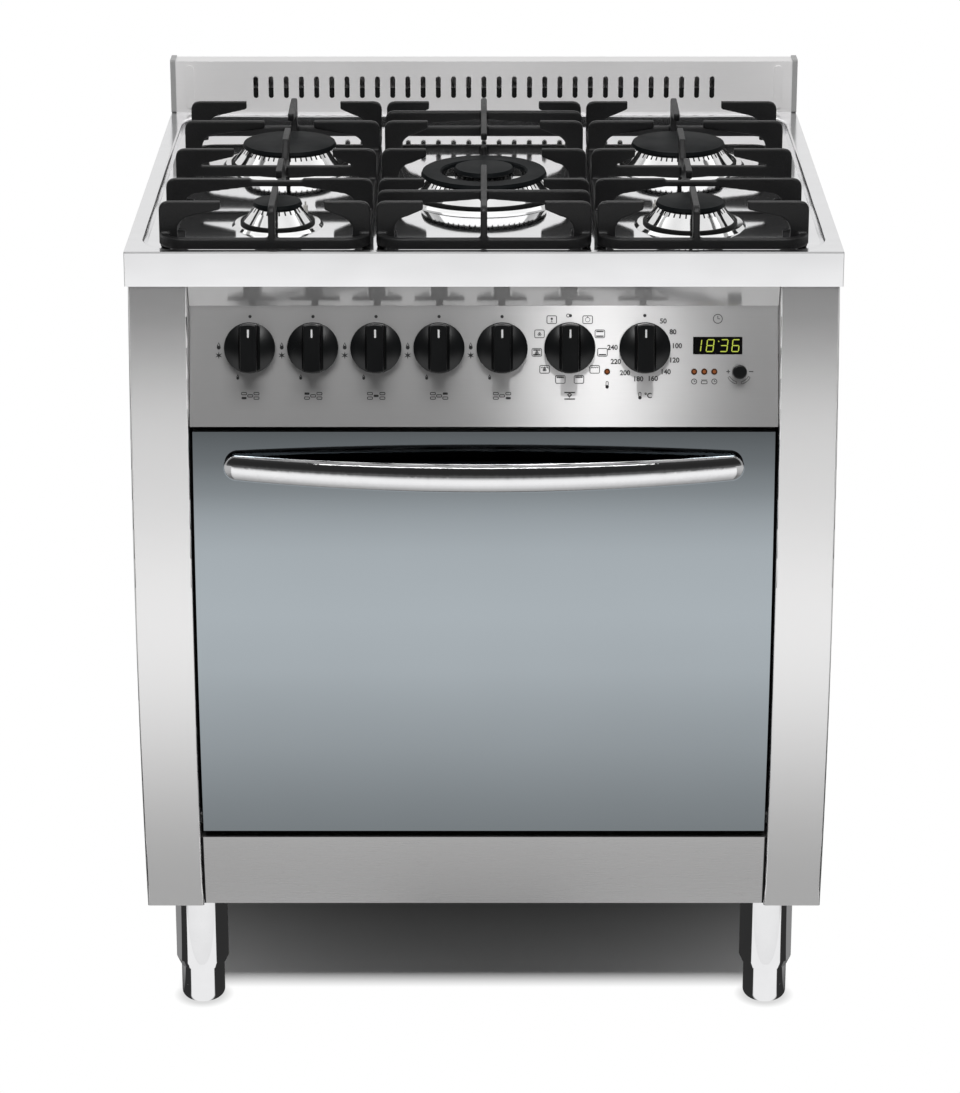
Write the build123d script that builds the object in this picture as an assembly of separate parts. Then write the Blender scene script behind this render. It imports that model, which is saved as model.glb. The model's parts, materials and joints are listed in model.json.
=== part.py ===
from build123d import *
import math
import os

os.makedirs("parts", exist_ok=True)

# Driving sizes in millimetres. "Setback" is measured behind the front face of the worktop.

# Body
WORKTOP_WIDTH = 700.0
WORKTOP_DEPTH = 600.0
WORKTOP_TOP = 830.0
WORKTOP_EDGE = 35.0
SHEET = 1.5
BODY_BOTTOM = 128.5
BODY_INSET = 3.0
COLUMN_FACE = 58.0
COLUMN_DEPTH = 48.0
COLUMN_SETBACK = 3.0
COLUMN_EDGE = 2.0
FRONT_BULGE = 32.0
REAR_RECESS = 30.0
SIDE_GAP = 0.5

# Hob pan
RECESS_DEPTH = 8.0
RIM_SIDE = 16.0
RIM_FRONT = 10.0
RIM_REAR = 40.0
RECESS_CORNER = 40.0
RIM_EDGE = 2.5
EDGE_TOLERANCE = 0.1

# Backguard
BACKGUARD_HEIGHT = 58.0
BACKGUARD_DEPTH = 25.0
VENT_MARGIN = 85.0
VENT_PITCH = 17.0
VENT_WIDTH = 5.5
VENT_HEIGHT = 25.0
VENT_CENTRE = 28.5
END_CAP_WIDTH = 5.6
END_CAP_PROUD = 2.0
RIB_WIDTH = 9.0
RIB_INSET = 16.0
RIB_PROUD = 1.2

# Burners
BURNER_SIDE = 143.0
BURNER_SPREAD = 121.0
CAP_RADIUS_SMALL = 25.0
CAP_RADIUS_MEDIUM = 35.0
CAP_RADIUS_LARGE = 50.0
CAP_THICKNESS = 5.0
CAP_DOME = 1.5
CROWN_HEIGHT = 17.0
CROWN_FLARE = 10.0
CROWN_WALL = 4.0
BEZEL_REACH = 21.0
BEZEL_THICKNESS = 3.0
PORT_WIDTH = 1.6
PORT_HEIGHT = 4.0
PORT_PITCH = 11.0
CUP_DEPTH = 30.0
CUP_BOSS_RADIUS = 9.0
CUP_BOSS_HEIGHT = 12.0
WOK_RING_RADIUS = 65.0
WOK_RING_BORE = 44.0
WOK_CENTRE_RADIUS = 31.0
WOK_CENTRE_RISE = 4.0
WOK_BRIDGE_WIDTH = 14.0
ELECTRODE_RADIUS = 2.4
ELECTRODE_DROP = 25.0
ELECTRODE_TURN = 45.0
ELECTRODE_RISE = 13.0
SPARK_TIP_RADIUS = 0.9
SPARK_TIP_LENGTH = 4.0

# Pan supports
SUPPORT_TOP = 40.0
SUPPORT_SIDE_GAP = 16.0
SUPPORT_FRONT_GAP = 8.0
SUPPORT_CENTRE_HALF = 105.5
SUPPORT_GAP = 5.5
SUPPORT_HALF_LENGTH = 232.0
SUPPORT_CORNER = 25.0
RING_BAR = 8.0
RING_TOP = 8.0
FOOT_PAD_HEIGHT = 5.0
FOOT_PAD_RADIUS = 5.0
FINGER_THICKNESS = 6.5
FINGER_TIP_HEIGHT = 8.0
FINGER_CORNER = 8.0
FINGER_WEB = 18.0
FINGER_SHOULDER = 30.0
SHOULDER_DEPTH = 15.0
FINGER_WEB_SHARE = 0.42
FINGER_SHOULDER_SHARE = 0.68
FINGER_LEAN_ALONG = 0.25
FINGER_LEAN_UP = 0.7
END_ROW_INSET = 23.0
CROSS_ROW_INSET = 66.0
WIDE_TIP = 51.0
NARROW_TIP = 26.0
CENTRE_TIP = 59.5
AXIAL_TIP = 30.0
CENTRE_AXIAL_TIP = 65.0
MID_BAR_TOP = 22.0
MID_BAR_HEIGHT = 11.0
MID_RISE_START = 24.0
MID_RISE_END = 40.0
TIE_DROP = 2.0

# Control panel
PANEL_STRIP = 23.5
PANEL_DROP = 138.0
PANEL_FOLD_SETBACK = 14.0
PANEL_TOP_SETBACK = 1.0
PANEL_RETURN = 18.0
PANEL_INSET = 0.5
KNOB_DOWN = 41.0
KNOB_MARGIN = 60.0
PROGRAMMER_MARGIN = 60.0
FUNCTION_EXTRA = 4.5
THERMOSTAT_EXTRA = 11.8
PROGRAMMER_EXTRA = 9.8
KNOB_RADIUS = 25.0
KNOB_GRIP_RADIUS = 24.0
KNOB_DISC_HEIGHT = 11.0
KNOB_RIM_HEIGHT = 4.0
KNOB_GRIP_HEIGHT = 27.0
KNOB_GRIP_WIDTH = 16.0
KNOB_GROOVE_WIDTH = 2.5
KNOB_GROOVE_DEPTH = 6.0
KNOB_EDGE = 1.5
KNOB_GAP = 5.0
SPINDLE_RADIUS = 3.5
SPINDLE_HOLE_ROOM = 1.5
SPINDLE_REACH = 44.0
RUNNING_FIT = 0.06
SEAT_GAP = 0.2

# Gas taps and pipes
TAP_RADIUS = 12.0
TAP_FACE = 4.0
PLUNGER_LENGTH = 8.0
PLUNGER_TRAVEL = 4.0
MANIFOLD_RADIUS = 8.0
MANIFOLD_BORE = 6.5
MANIFOLD_OVERRUN = 16.0
TAP_FLOOR = 5.0
OUTLET_DEPTH = 36.0
OUTLET_RADIUS = 6.0
OUTLET_RISE = 18.0
PIPE_RADIUS = 4.0
PIPE_BEND = 9.0
PIPE_LEVEL_DROP = 23.0
INLET_SIDE_GAP = 34.0
INLET_BEND = 22.0
INLET_THREAD_RADIUS = 10.48
INLET_THREAD_LENGTH = 20.0

# Oven controls
SWITCH_SIZE = 40.0
SWITCH_DEPTH = 34.0
SWITCH_REACH = 18.0
PROGRAMMER_WIDTH = 70.0
PROGRAMMER_DEPTH = 30.0
PROGRAMMER_TOP = 20.0
PROGRAMMER_LENGTH = 56.0
DISPLAY_WIDTH = 48.0
DISPLAY_HEIGHT = 16.7
DISPLAY_DOWN = 39.0
SMALL_KNOB_OFFSET = 21.0
SMALL_KNOB_RADIUS = 7.0
SMALL_KNOB_HEIGHT = 12.0
SMALL_KNOB_GAP = 1.0
SMALL_SPINDLE_RADIUS = 2.5
SMALL_SPINDLE_REACH = 14.0
LENS_RADIUS = 2.8
LENS_PROUD = 0.8
LENS_DOWN = 64.5
LENS_OFFSET = 23.0
LENS_PITCH = 9.9
LENS_COUNT = 3

# Door
DOOR_TOP_GAP = 5.0
DOOR_BOTTOM_GAP = 8.0
DOOR_SIDE_GAP = 3.0
DOOR_INSET = 0.5
GLASS = 4.0
DOOR_BACK_SETBACK = 24.0
DOOR_SHEET = 1.5
WINDOW_MARGIN_SIDE = 70.0
WINDOW_MARGIN_END = 70.0
INNER_GLASS_LAP = 15.0
HINGE_PIN_RADIUS = 4.0
HINGE_PIN_REACH = 18.0
HINGE_RISE = 12.0
HINGE_SETBACK = -1.0
HINGE_BLOCK_WIDTH = 22.0
HINGE_BLOCK_WALL = 1.5
HINGE_BLOCK_RISE = 10.0
HINGE_FLANGE_RADIUS = 8.0
HINGE_FLANGE = 1.5
PIN_HOLE_ROOM = 1.5
HANDLE_DROP = 33.0
HANDLE_SIDE_GAP = 30.0
HANDLE_BOW = 31.0
HANDLE_HEIGHT = 29.0
HANDLE_THICKNESS = 15.0
HANDLE_STANDOFF = 10.0
HANDLE_TIP_HEIGHT = 26.0
HANDLE_TIP_THICKNESS = 13.0
HANDLE_STATIONS = 4
HANDLE_POST_RADIUS = 5.5
HANDLE_POST_INSET = 8.0

# Plinth
PLINTH_RISE = 2.5
PLINTH_HEIGHT = 81.0
PLINTH_INSET = 1.5
PLINTH_LIP = 16.0

# Oven
OVEN_FACE_SETBACK = 29.0
FACE_TOP_GAP = 2.0
CAVITY_DROP = 65.0
CAVITY_REAR_ROOM = 141.0
CAVITY_RISE = 50.0
INSULATION = 25.0
INSULATION_SIDE_GAP = 12.5
SEAL_WIDTH = 9.0
SEAL_GAP = 0.4
SEAL_MARGIN = 6.0
SEAL_CORNER = 12.0
ELEMENT_RADIUS = 3.2
GRILL_DROP = 24.0
GRILL_SIDE_GAP = 70.0
GRILL_SETBACK = 90.0
GRILL_LOOPS = 4
GRILL_BEND_SHARE = 0.45
RING_COVER_GAP = 44.0
RING_ELEMENT_GAP = 20.0
RING_LEG_SHARE = 0.75
FAN_RING_GAP = 16.0
FAN_BLADES = 12
FAN_BLADE_WIDTH = 14.0
FAN_PLATE = 1.6
FAN_HUB_RADIUS = 10.0
FAN_SHAFT_RADIUS = 3.5
FAN_GAP = 10.0
FAN_COVER_SIDE_GAP = 100.0
FAN_COVER_END_GAP = 35.0
FAN_COVER_DEPTH = 38.0
COVER_SLOTS = 18
COVER_SLOT_WIDTH = 6.0
COVER_SLOT_INNER = 26.0
COVER_SLOT_OUTER = 62.0
MOTOR_RADIUS = 32.0
MOTOR_LENGTH = 42.0
LAMP_SIDE_GAP = 65.0
LAMP_DROP = 58.0
LAMP_RADIUS = 24.0
LAMP_DOME = 12.0
LAMP_HOLDER_RADIUS = 17.0
LADDER_WIRE = 3.0
RUNG_WIRE = 2.5
RUNG_TOP_ROOM = 80.0
RUNG_PITCH = 48.0
RUNG_FIRST = 50.0
RUNG_SPLIT = 16.0
LADDER_WALL_GAP = 8.0
LADDER_MARGIN = 30.0
SHELF_LEVEL = 2
SHELF_WIRE = 3.0
SHELF_ROD = 2.0
SHELF_ROD_PITCH = 24.0
SHELF_SIDE_GAP = 2.0

# Legs
LEG_SIDE_INSET = 54.0
LEG_FRONT_SETBACK = 55.0
LEG_REAR_INSET = 75.0
SLEEVE_RADIUS = 27.3
SLEEVE_BOTTOM = 40.0
SLEEVE_EDGE = 3.6
SLEEVE_TAPER = 8.0
SLEEVE_FLOOR = 4.0
FOOT_RADIUS = 22.5
FOOT_FIT = 0.3
FOOT_TOP_ROOM = 12.5
FOOT_EDGE = 7.5
FOOT_WALL = 3.0
FOOT_FLOOR = 8.0

# Rear connections
TERMINAL_SIDE_GAP = 147.0
TERMINAL_RISE = 131.5
TERMINAL_WIDTH = 80.0
TERMINAL_HEIGHT = 95.0
TERMINAL_DEPTH = 24.0
CABLE_HOLE_RADIUS = 6.0
REAR_VENTS = 12
REAR_VENT_LENGTH = 70.0
REAR_VENT_WIDTH = 5.0
REAR_VENT_PITCH = 16.0
REAR_VENT_DROP = 130.0
SCREW_RADIUS = 2.0
SCREW_HEAD_RADIUS = 4.2
SCREW_HEAD_HEIGHT = 2.4
SCREW_LENGTH = 8.0
SCREWS_PER_SIDE = 4
SCREW_END_MARGIN = 60.0

# Worked-out levels and planes
WORKTOP_UNDER = WORKTOP_TOP - WORKTOP_EDGE
HOB_FLOOR = WORKTOP_TOP - RECESS_DEPTH
BODY_HALF = WORKTOP_WIDTH / 2 - BODY_INSET
INNER_HALF = BODY_HALF - COLUMN_FACE
FRONT_CHORD = WORKTOP_UNDER - BODY_BOTTOM
FRONT_RADIUS = (FRONT_CHORD**2 / 4 + FRONT_BULGE**2) / (2 * FRONT_BULGE)
FRONT_CENTRE_Z = (WORKTOP_UNDER + BODY_BOTTOM) / 2
PANEL_BOTTOM = WORKTOP_UNDER - PANEL_DROP
PANEL_FOLD = WORKTOP_UNDER - PANEL_STRIP
PLINTH_BOTTOM = BODY_BOTTOM + PLINTH_RISE
PLINTH_TOP = PLINTH_BOTTOM + PLINTH_HEIGHT
DOOR_TOP = PANEL_BOTTOM - DOOR_TOP_GAP
DOOR_BOTTOM = PLINTH_TOP + DOOR_BOTTOM_GAP
DOOR_HALF = INNER_HALF - DOOR_SIDE_GAP
HANDLE_Z = DOOR_TOP - HANDLE_DROP
HANDLE_SPAN = 2 * (DOOR_HALF - HANDLE_SIDE_GAP)
HANDLE_BAR_HALF = (HANDLE_SPAN - HANDLE_TIP_HEIGHT) / 2


def bulge_setback(z):
    """Setback of the curved front at height z."""
    rise = z - FRONT_CENTRE_Z
    return COLUMN_SETBACK - FRONT_BULGE + FRONT_RADIUS - math.sqrt(FRONT_RADIUS**2 - rise**2)


HANDLE_END_SETBACK = bulge_setback(HANDLE_Z) + DOOR_INSET - HANDLE_STANDOFF
HANDLE_FRONT_SETBACK = HANDLE_END_SETBACK - HANDLE_BOW - HANDLE_THICKNESS / 2
FRONT_Y = -(WORKTOP_DEPTH + HANDLE_FRONT_SETBACK) / 2
BACK_Y = FRONT_Y + WORKTOP_DEPTH
COLUMN_BACK_Y = FRONT_Y + COLUMN_DEPTH
REAR_PANEL_Y = BACK_Y - REAR_RECESS
OVEN_FACE_Y = FRONT_Y + OVEN_FACE_SETBACK
DOOR_BACK_Y = FRONT_Y + DOOR_BACK_SETBACK
HINGE_Y = FRONT_Y + HINGE_SETBACK
HINGE_Z = DOOR_BOTTOM + HINGE_RISE
HOB_CENTRE_Y = FRONT_Y + RIM_FRONT + SUPPORT_FRONT_GAP + SUPPORT_HALF_LENGTH
BURNER_X = WORKTOP_WIDTH / 2 - BURNER_SIDE
SUPPORT_OUTER_X = WORKTOP_WIDTH / 2 - RIM_SIDE - SUPPORT_SIDE_GAP
END_ROW = SUPPORT_HALF_LENGTH - END_ROW_INSET
CROSS_ROW = SUPPORT_HALF_LENGTH - CROSS_ROW_INSET
LEG_X = WORKTOP_WIDTH / 2 - LEG_SIDE_INSET
FOOT_TOP = BODY_BOTTOM - SLEEVE_FLOOR - FOOT_TOP_ROOM
TERMINAL_X = TERMINAL_SIDE_GAP - BODY_HALF
TERMINAL_Z = BODY_BOTTOM + TERMINAL_RISE
CAVITY_FLOOR = PLINTH_TOP + CAVITY_RISE
CAVITY_TOP = PANEL_BOTTOM - CAVITY_DROP
CAVITY_HEIGHT = CAVITY_TOP - CAVITY_FLOOR
CAVITY_WIDTH = 2 * (INNER_HALF - INSULATION_SIDE_GAP - INSULATION - SHEET)
CAVITY_MID_Z = (CAVITY_FLOOR + CAVITY_TOP) / 2
CAVITY_BACK_Y = REAR_PANEL_Y - CAVITY_REAR_ROOM
FAN_COVER_WIDTH = CAVITY_WIDTH - 2 * FAN_COVER_SIDE_GAP
FAN_COVER_HEIGHT = CAVITY_HEIGHT - 2 * FAN_COVER_END_GAP
RING_ELEMENT_RADIUS = FAN_COVER_HEIGHT / 2 - RING_COVER_GAP
FAN_RADIUS = RING_ELEMENT_RADIUS - FAN_RING_GAP
GRILL_WIDTH = CAVITY_WIDTH - 2 * GRILL_SIDE_GAP
LAMP_X = CAVITY_WIDTH / 2 - LAMP_SIDE_GAP
RUNG_LEVELS = int((CAVITY_HEIGHT - RUNG_FIRST - RUNG_TOP_ROOM) / RUNG_PITCH) + 1
CAP_UNDER = HOB_FLOOR + BEZEL_THICKNESS + CROWN_HEIGHT
CUP_BOTTOM = HOB_FLOOR - CUP_DEPTH - CUP_BOSS_HEIGHT
FINGER_TOP = WORKTOP_TOP + SUPPORT_TOP
RING_TOP_Z = WORKTOP_TOP + RING_TOP
RING_BOTTOM_Z = HOB_FLOOR + FOOT_PAD_HEIGHT

# The sloping face of the panel, seen from its fold line down
PANEL_BOTTOM_SETBACK = bulge_setback(PANEL_BOTTOM) + PANEL_INSET
PANEL_TILT = math.atan2(PANEL_FOLD_SETBACK - PANEL_BOTTOM_SETBACK, PANEL_FOLD - PANEL_BOTTOM)
TILT_SIN = math.sin(PANEL_TILT)
TILT_COS = math.cos(PANEL_TILT)
MANIFOLD_DEEP = SPINDLE_REACH + PLUNGER_LENGTH + PLUNGER_TRAVEL + TAP_FLOOR + MANIFOLD_RADIUS

GAS_BURNERS = ["front_left", "rear_left", "wok", "rear_right", "front_right"]
BURNER_PLACES = {
    "front_left": (-BURNER_X, HOB_CENTRE_Y - BURNER_SPREAD),
    "rear_left": (-BURNER_X, HOB_CENTRE_Y + BURNER_SPREAD),
    "wok": (0.0, HOB_CENTRE_Y),
    "rear_right": (BURNER_X, HOB_CENTRE_Y + BURNER_SPREAD),
    "front_right": (BURNER_X, HOB_CENTRE_Y - BURNER_SPREAD),
}
CAP_RADII = {
    "front_left": CAP_RADIUS_SMALL,
    "rear_left": CAP_RADIUS_LARGE,
    "wok": WOK_RING_RADIUS,
    "rear_right": CAP_RADIUS_LARGE,
    "front_right": CAP_RADIUS_MEDIUM,
}

# The knobs share the panel's width, with a little extra beside the oven controls
GAS_KNOB_FIRST_X = KNOB_MARGIN - INNER_HALF
PROGRAMMER_X = INNER_HALF - PROGRAMMER_MARGIN
KNOB_EXTRAS = FUNCTION_EXTRA + THERMOSTAT_EXTRA + PROGRAMMER_EXTRA
KNOB_PITCH = (PROGRAMMER_X - GAS_KNOB_FIRST_X - KNOB_EXTRAS) / (len(GAS_BURNERS) + 2)
FUNCTION_KNOB_X = GAS_KNOB_FIRST_X + len(GAS_BURNERS) * KNOB_PITCH + FUNCTION_EXTRA
THERMOSTAT_KNOB_X = FUNCTION_KNOB_X + KNOB_PITCH + THERMOSTAT_EXTRA
SMALL_KNOB_X = PROGRAMMER_X + SMALL_KNOB_OFFSET
LENS_FIRST_X = PROGRAMMER_X - LENS_OFFSET
OVEN_LENS_X = (FUNCTION_KNOB_X + THERMOSTAT_KNOB_X) / 2
GAS_KNOB_X = {name: GAS_KNOB_FIRST_X + i * KNOB_PITCH for i, name in enumerate(GAS_BURNERS)}


def block(x0, x1, y0, y1, z0, z1):
    """Box between two opposite corners."""
    centre = Pos((x0 + x1) / 2, (y0 + y1) / 2, (z0 + z1) / 2)
    return centre * Box(abs(x1 - x0), abs(y1 - y0), abs(z1 - z0))


def front_drum(inset):
    """Solid whose front is the curved face of the cooker, moved back by inset."""
    centre_y = FRONT_Y + COLUMN_SETBACK - FRONT_BULGE + FRONT_RADIUS
    turned = Pos(0, centre_y, FRONT_CENTRE_Z) * Rot(0, 90, 0)
    return turned * Cylinder(FRONT_RADIUS - inset, 2 * WORKTOP_WIDTH)


def folded_sheet(points, thickness, half_width):
    """Bent sheet that follows (y, z) points, thickened to the left of their direction."""
    inner = []
    for i, (y, z) in enumerate(points):
        before = points[max(i - 1, 0)]
        after = points[min(i + 1, len(points) - 1)]
        headings = [(a, b) for a, b in ((before, (y, z)), ((y, z), after)) if a != b]
        normals = []
        for a, b in headings:
            length = math.hypot(b[0] - a[0], b[1] - a[1])
            normals.append((-(b[1] - a[1]) / length, (b[0] - a[0]) / length))
        ny = sum(n[0] for n in normals) / len(normals)
        nz = sum(n[1] for n in normals) / len(normals)
        stretch = thickness / (ny**2 + nz**2)
        inner.append((y + ny * stretch, z + nz * stretch))
    outline = make_face(Polyline(*points, *reversed(inner), close=True))
    return extrude(Plane.YZ * outline, half_width, both=True)


def turned(profile, x, y):
    """Solid of revolution about the vertical through (x, y), from (radius, height) points."""
    face = make_face(Plane.XZ * Polyline(*profile, close=True))
    return Pos(x, y, 0) * revolve(face, Axis.Z)


def tube_between(start, end, radius):
    """Round bar from start to end."""
    line = Vector(*end) - Vector(*start)
    plane = Plane(origin=start, z_dir=line)
    return extrude(plane * Circle(radius), line.length)


def panel_plane(x, down):
    """Plane on the sloping panel face: normal outward, local y up the slope."""
    y = FRONT_Y + PANEL_FOLD_SETBACK - down * TILT_SIN
    z = PANEL_FOLD - down * TILT_COS
    return Plane(origin=(x, y, z), x_dir=(1, 0, 0), z_dir=(0, -TILT_COS, TILT_SIN))


def panel_cylinder(x, down, radius, near, far):
    """Cylinder square to the panel face, between two heights above that face."""
    return panel_plane(x, down) * Pos(0, 0, (near + far) / 2) * Cylinder(radius, far - near)


def joined(pieces):
    """One solid from pieces that touch or overlap."""
    whole = pieces[0]
    for piece in pieces[1:]:
        whole = whole + piece
    return whole


def group(pieces):
    """Separate solids that share a node."""
    return Compound(children=[solid for piece in pieces for solid in piece.solids()])


# Body

def screw_places(side):
    """X and Z of the rear screws along one edge of the rear panel."""
    x = side * (BODY_HALF - (SHEET + PANEL_RETURN) / 2)
    low = BODY_BOTTOM + SCREW_END_MARGIN
    step = (WORKTOP_UNDER - SCREW_END_MARGIN - low) / (SCREWS_PER_SIDE - 1)
    return [(x, low + i * step) for i in range(SCREWS_PER_SIDE)]


def screw_holes(shape, side):
    """Shape with clearance holes for the rear screws of one side."""
    for x, z in screw_places(side):
        start = (x, REAR_PANEL_Y - SCREW_LENGTH, z)
        shape = shape - tube_between(start, (x, REAR_PANEL_Y + SHEET, z), SCREW_RADIUS + SEAT_GAP)
    return shape


def rear_screw(x, z):
    """Pan-head screw through the rear panel into a side panel's fold."""
    face = (x, REAR_PANEL_Y, z)
    head = tube_between(face, (x, REAR_PANEL_Y + SCREW_HEAD_HEIGHT, z), SCREW_HEAD_RADIUS)
    head = fillet(head.edges().sort_by(Axis.Y)[-1], SCREW_HEAD_HEIGHT / 2)
    return head + tube_between(face, (x, REAR_PANEL_Y - SCREW_LENGTH, z), SCREW_RADIUS)


def side_panel(side):
    """Flat side sheet with a fold along its rear edge, carrying the worktop rim."""
    outer = side * BODY_HALF
    top = WORKTOP_TOP - SHEET
    sheet = block(outer - side * SHEET, outer, COLUMN_BACK_Y, REAR_PANEL_Y, BODY_BOTTOM, top)
    fold = block(
        outer - side * SHEET,
        outer - side * PANEL_RETURN,
        REAR_PANEL_Y - 2 * SHEET,
        REAR_PANEL_Y - SHEET,
        BODY_BOTTOM + SHEET,
        WORKTOP_UNDER,
    )
    return screw_holes(sheet + fold, side)


def front_column(side):
    """Hollow curved column, open at the back."""
    inner, outer = side * INNER_HALF, side * BODY_HALF
    front = FRONT_Y - FRONT_BULGE
    shell = block(inner, outer, front, COLUMN_BACK_Y, BODY_BOTTOM, WORKTOP_UNDER)
    shell = shell & front_drum(0)
    corners = [edge for edge in shell.edges() if edge.geom_type == GeomType.CIRCLE]
    shell = fillet([edge for edge in corners if edge.length > FRONT_CHORD / 2], COLUMN_EDGE)
    hollow = block(
        inner + side * SHEET,
        outer - side * SHEET,
        front,
        COLUMN_BACK_Y + SHEET,
        BODY_BOTTOM + SHEET,
        WORKTOP_UNDER - SHEET,
    )
    return shell - (hollow & front_drum(SHEET))


def base_plate():
    """Floor sheet between the side panels, behind the columns and the plinth."""
    half = BODY_HALF - SHEET
    return block(-half, half, COLUMN_BACK_Y, REAR_PANEL_Y - SHEET, BODY_BOTTOM, BODY_BOTTOM + SHEET)


def rear_panel():
    """Back sheet with cooling slots and holes for the gas inlet and the mains lead."""
    half = BODY_HALF - SHEET
    top = WORKTOP_TOP - SHEET
    sheet = block(-half, half, REAR_PANEL_Y - SHEET, REAR_PANEL_Y, BODY_BOTTOM, top)
    for i in range(REAR_VENTS):
        x = (i - (REAR_VENTS - 1) / 2) * REAR_VENT_PITCH
        slot = SlotOverall(REAR_VENT_LENGTH, REAR_VENT_WIDTH, rotation=90)
        place = Plane.XZ * Pos(x, WORKTOP_TOP - REAR_VENT_DROP)
        sheet = sheet - Pos(0, REAR_PANEL_Y, 0) * extrude(place * slot, 2 * SHEET, both=True)
    inlet = inlet_point()
    hole = INLET_THREAD_RADIUS + SPINDLE_HOLE_ROOM
    sheet = sheet - tube_between((inlet[0], REAR_PANEL_Y - 2 * SHEET, inlet[2]),
                                 (inlet[0], REAR_PANEL_Y + SHEET, inlet[2]), hole)
    cable = (TERMINAL_X, REAR_PANEL_Y - 2 * SHEET, TERMINAL_Z)
    sheet = sheet - tube_between(cable, (TERMINAL_X, REAR_PANEL_Y + SHEET, TERMINAL_Z), CABLE_HOLE_RADIUS)
    for side in (-1, 1):
        sheet = screw_holes(sheet, side)
    return sheet


def plinth_panel():
    """Curved strip under the door with lips folded back at its top and bottom."""
    half = INNER_HALF - SIDE_GAP
    back = FRONT_Y + PLINTH_LIP
    front = FRONT_Y - FRONT_BULGE
    skin = block(-half, half, front, back, PLINTH_BOTTOM, PLINTH_TOP) & front_drum(PLINTH_INSET)
    hollow = block(
        -half - SHEET, half + SHEET, front, back + SHEET, PLINTH_BOTTOM + SHEET, PLINTH_TOP - SHEET
    )
    skin = skin - (hollow & front_drum(PLINTH_INSET + SHEET))
    tail = block(-half, half, back - SHEET, COLUMN_BACK_Y, PLINTH_BOTTOM, PLINTH_BOTTOM + SHEET)
    step = block(-half, half, COLUMN_BACK_Y - SHEET, COLUMN_BACK_Y, BODY_BOTTOM, PLINTH_BOTTOM + SHEET)
    return skin + tail + step


# Hob

def rounded_prism(half_x, y0, y1, corner, z0, z1):
    """Upright prism with rounded corners, centred on X."""
    outline = RectangleRounded(2 * half_x, y1 - y0, corner)
    return Pos(0, (y0 + y1) / 2, z0) * extrude(outline, z1 - z0)


def worktop():
    """Pressed top: folded edges all round, a sunk pan and the burner holes."""
    half = WORKTOP_WIDTH / 2
    top = block(-half, half, FRONT_Y, BACK_Y, WORKTOP_UNDER, WORKTOP_TOP)
    upper = top.edges().filter_by(lambda edge: edge.center().Z > WORKTOP_UNDER + SHEET)
    top = fillet(upper, RIM_EDGE / 2)
    pan_half = half - RIM_SIDE
    pan_front = FRONT_Y + RIM_FRONT
    pan_back = BACK_Y - RIM_REAR
    pan = rounded_prism(pan_half, pan_front, pan_back, RECESS_CORNER, HOB_FLOOR, WORKTOP_TOP + SHEET)
    top = top - pan
    lip = [
        edge
        for edge in top.edges()
        if abs(edge.center().Z - WORKTOP_TOP) < EDGE_TOLERANCE
        and abs(edge.center().X) < pan_half + EDGE_TOLERANCE
        and pan_front - EDGE_TOLERANCE < edge.center().Y < pan_back + EDGE_TOLERANCE
    ]
    top = fillet(lip, RIM_EDGE)
    hollow = block(
        -half + SHEET,
        half - SHEET,
        FRONT_Y + SHEET,
        BACK_Y - SHEET,
        WORKTOP_UNDER - SHEET,
        WORKTOP_TOP - SHEET,
    )
    tray = rounded_prism(
        pan_half + SHEET,
        pan_front - SHEET,
        pan_back + SHEET,
        RECESS_CORNER + SHEET,
        HOB_FLOOR - SHEET,
        WORKTOP_TOP,
    )
    top = top - (hollow - tray)
    for name, (x, y) in BURNER_PLACES.items():
        hole = electrode_reach(name) + ELECTRODE_RADIUS + 2 * SEAT_GAP
        top = top - Pos(x, y, HOB_FLOOR) * Cylinder(hole, 2 * RECESS_DEPTH)
    return top


def backguard():
    """Upright channel along the back edge with a row of vent slots and two pressed ribs."""
    front = BACK_Y - BACKGUARD_DEPTH
    top = WORKTOP_TOP + BACKGUARD_HEIGHT
    half = WORKTOP_WIDTH / 2 - END_CAP_WIDTH
    line = [(BACK_Y, WORKTOP_TOP), (BACK_Y, top), (front, top), (front, WORKTOP_TOP)]
    guard = folded_sheet(line, SHEET, half)
    count = int(2 * (half - VENT_MARGIN) / VENT_PITCH) + 1
    for i in range(count):
        x = (i - (count - 1) / 2) * VENT_PITCH
        slot = SlotOverall(VENT_HEIGHT, VENT_WIDTH, rotation=90)
        place = Plane.XZ * Pos(x, WORKTOP_TOP + VENT_CENTRE)
        guard = guard - Pos(0, front, 0) * extrude(place * slot, 2 * SHEET, both=True)
    rib_height = BACKGUARD_HEIGHT - RIB_WIDTH
    for side in (-1, 1):
        rib = SlotOverall(rib_height, RIB_WIDTH, rotation=90)
        place = Plane.XZ * Pos(side * (half - RIB_INSET), WORKTOP_TOP + BACKGUARD_HEIGHT / 2)
        guard = guard + Pos(0, front, 0) * extrude(place * rib, RIB_PROUD)
    return guard


def backguard_end_caps():
    """Moulded ends of the backguard, a little proud of its top and front."""
    caps = []
    for side in (-1, 1):
        outer = side * WORKTOP_WIDTH / 2
        cap = block(
            outer - side * END_CAP_WIDTH,
            outer,
            BACK_Y - BACKGUARD_DEPTH - END_CAP_PROUD,
            BACK_Y,
            WORKTOP_TOP,
            WORKTOP_TOP + BACKGUARD_HEIGHT + END_CAP_PROUD,
        )
        caps.append(fillet(cap.edges().filter_by(Axis.X), END_CAP_PROUD))
    return group(caps)


def electrode_reach(name):
    """Distance of the spark electrode from its burner's axis."""
    return CAP_RADII[name] + CROWN_FLARE + ELECTRODE_RADIUS + 2 * SEAT_GAP


def electrode_place(name):
    """Plan position of the spark electrode, toward the hob's middle and the back."""
    x, y = BURNER_PLACES[name]
    lean = math.radians(180 - ELECTRODE_TURN if x > 0 else ELECTRODE_TURN)
    reach = electrode_reach(name)
    return x + reach * math.cos(lean), y + reach * math.sin(lean)


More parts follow.
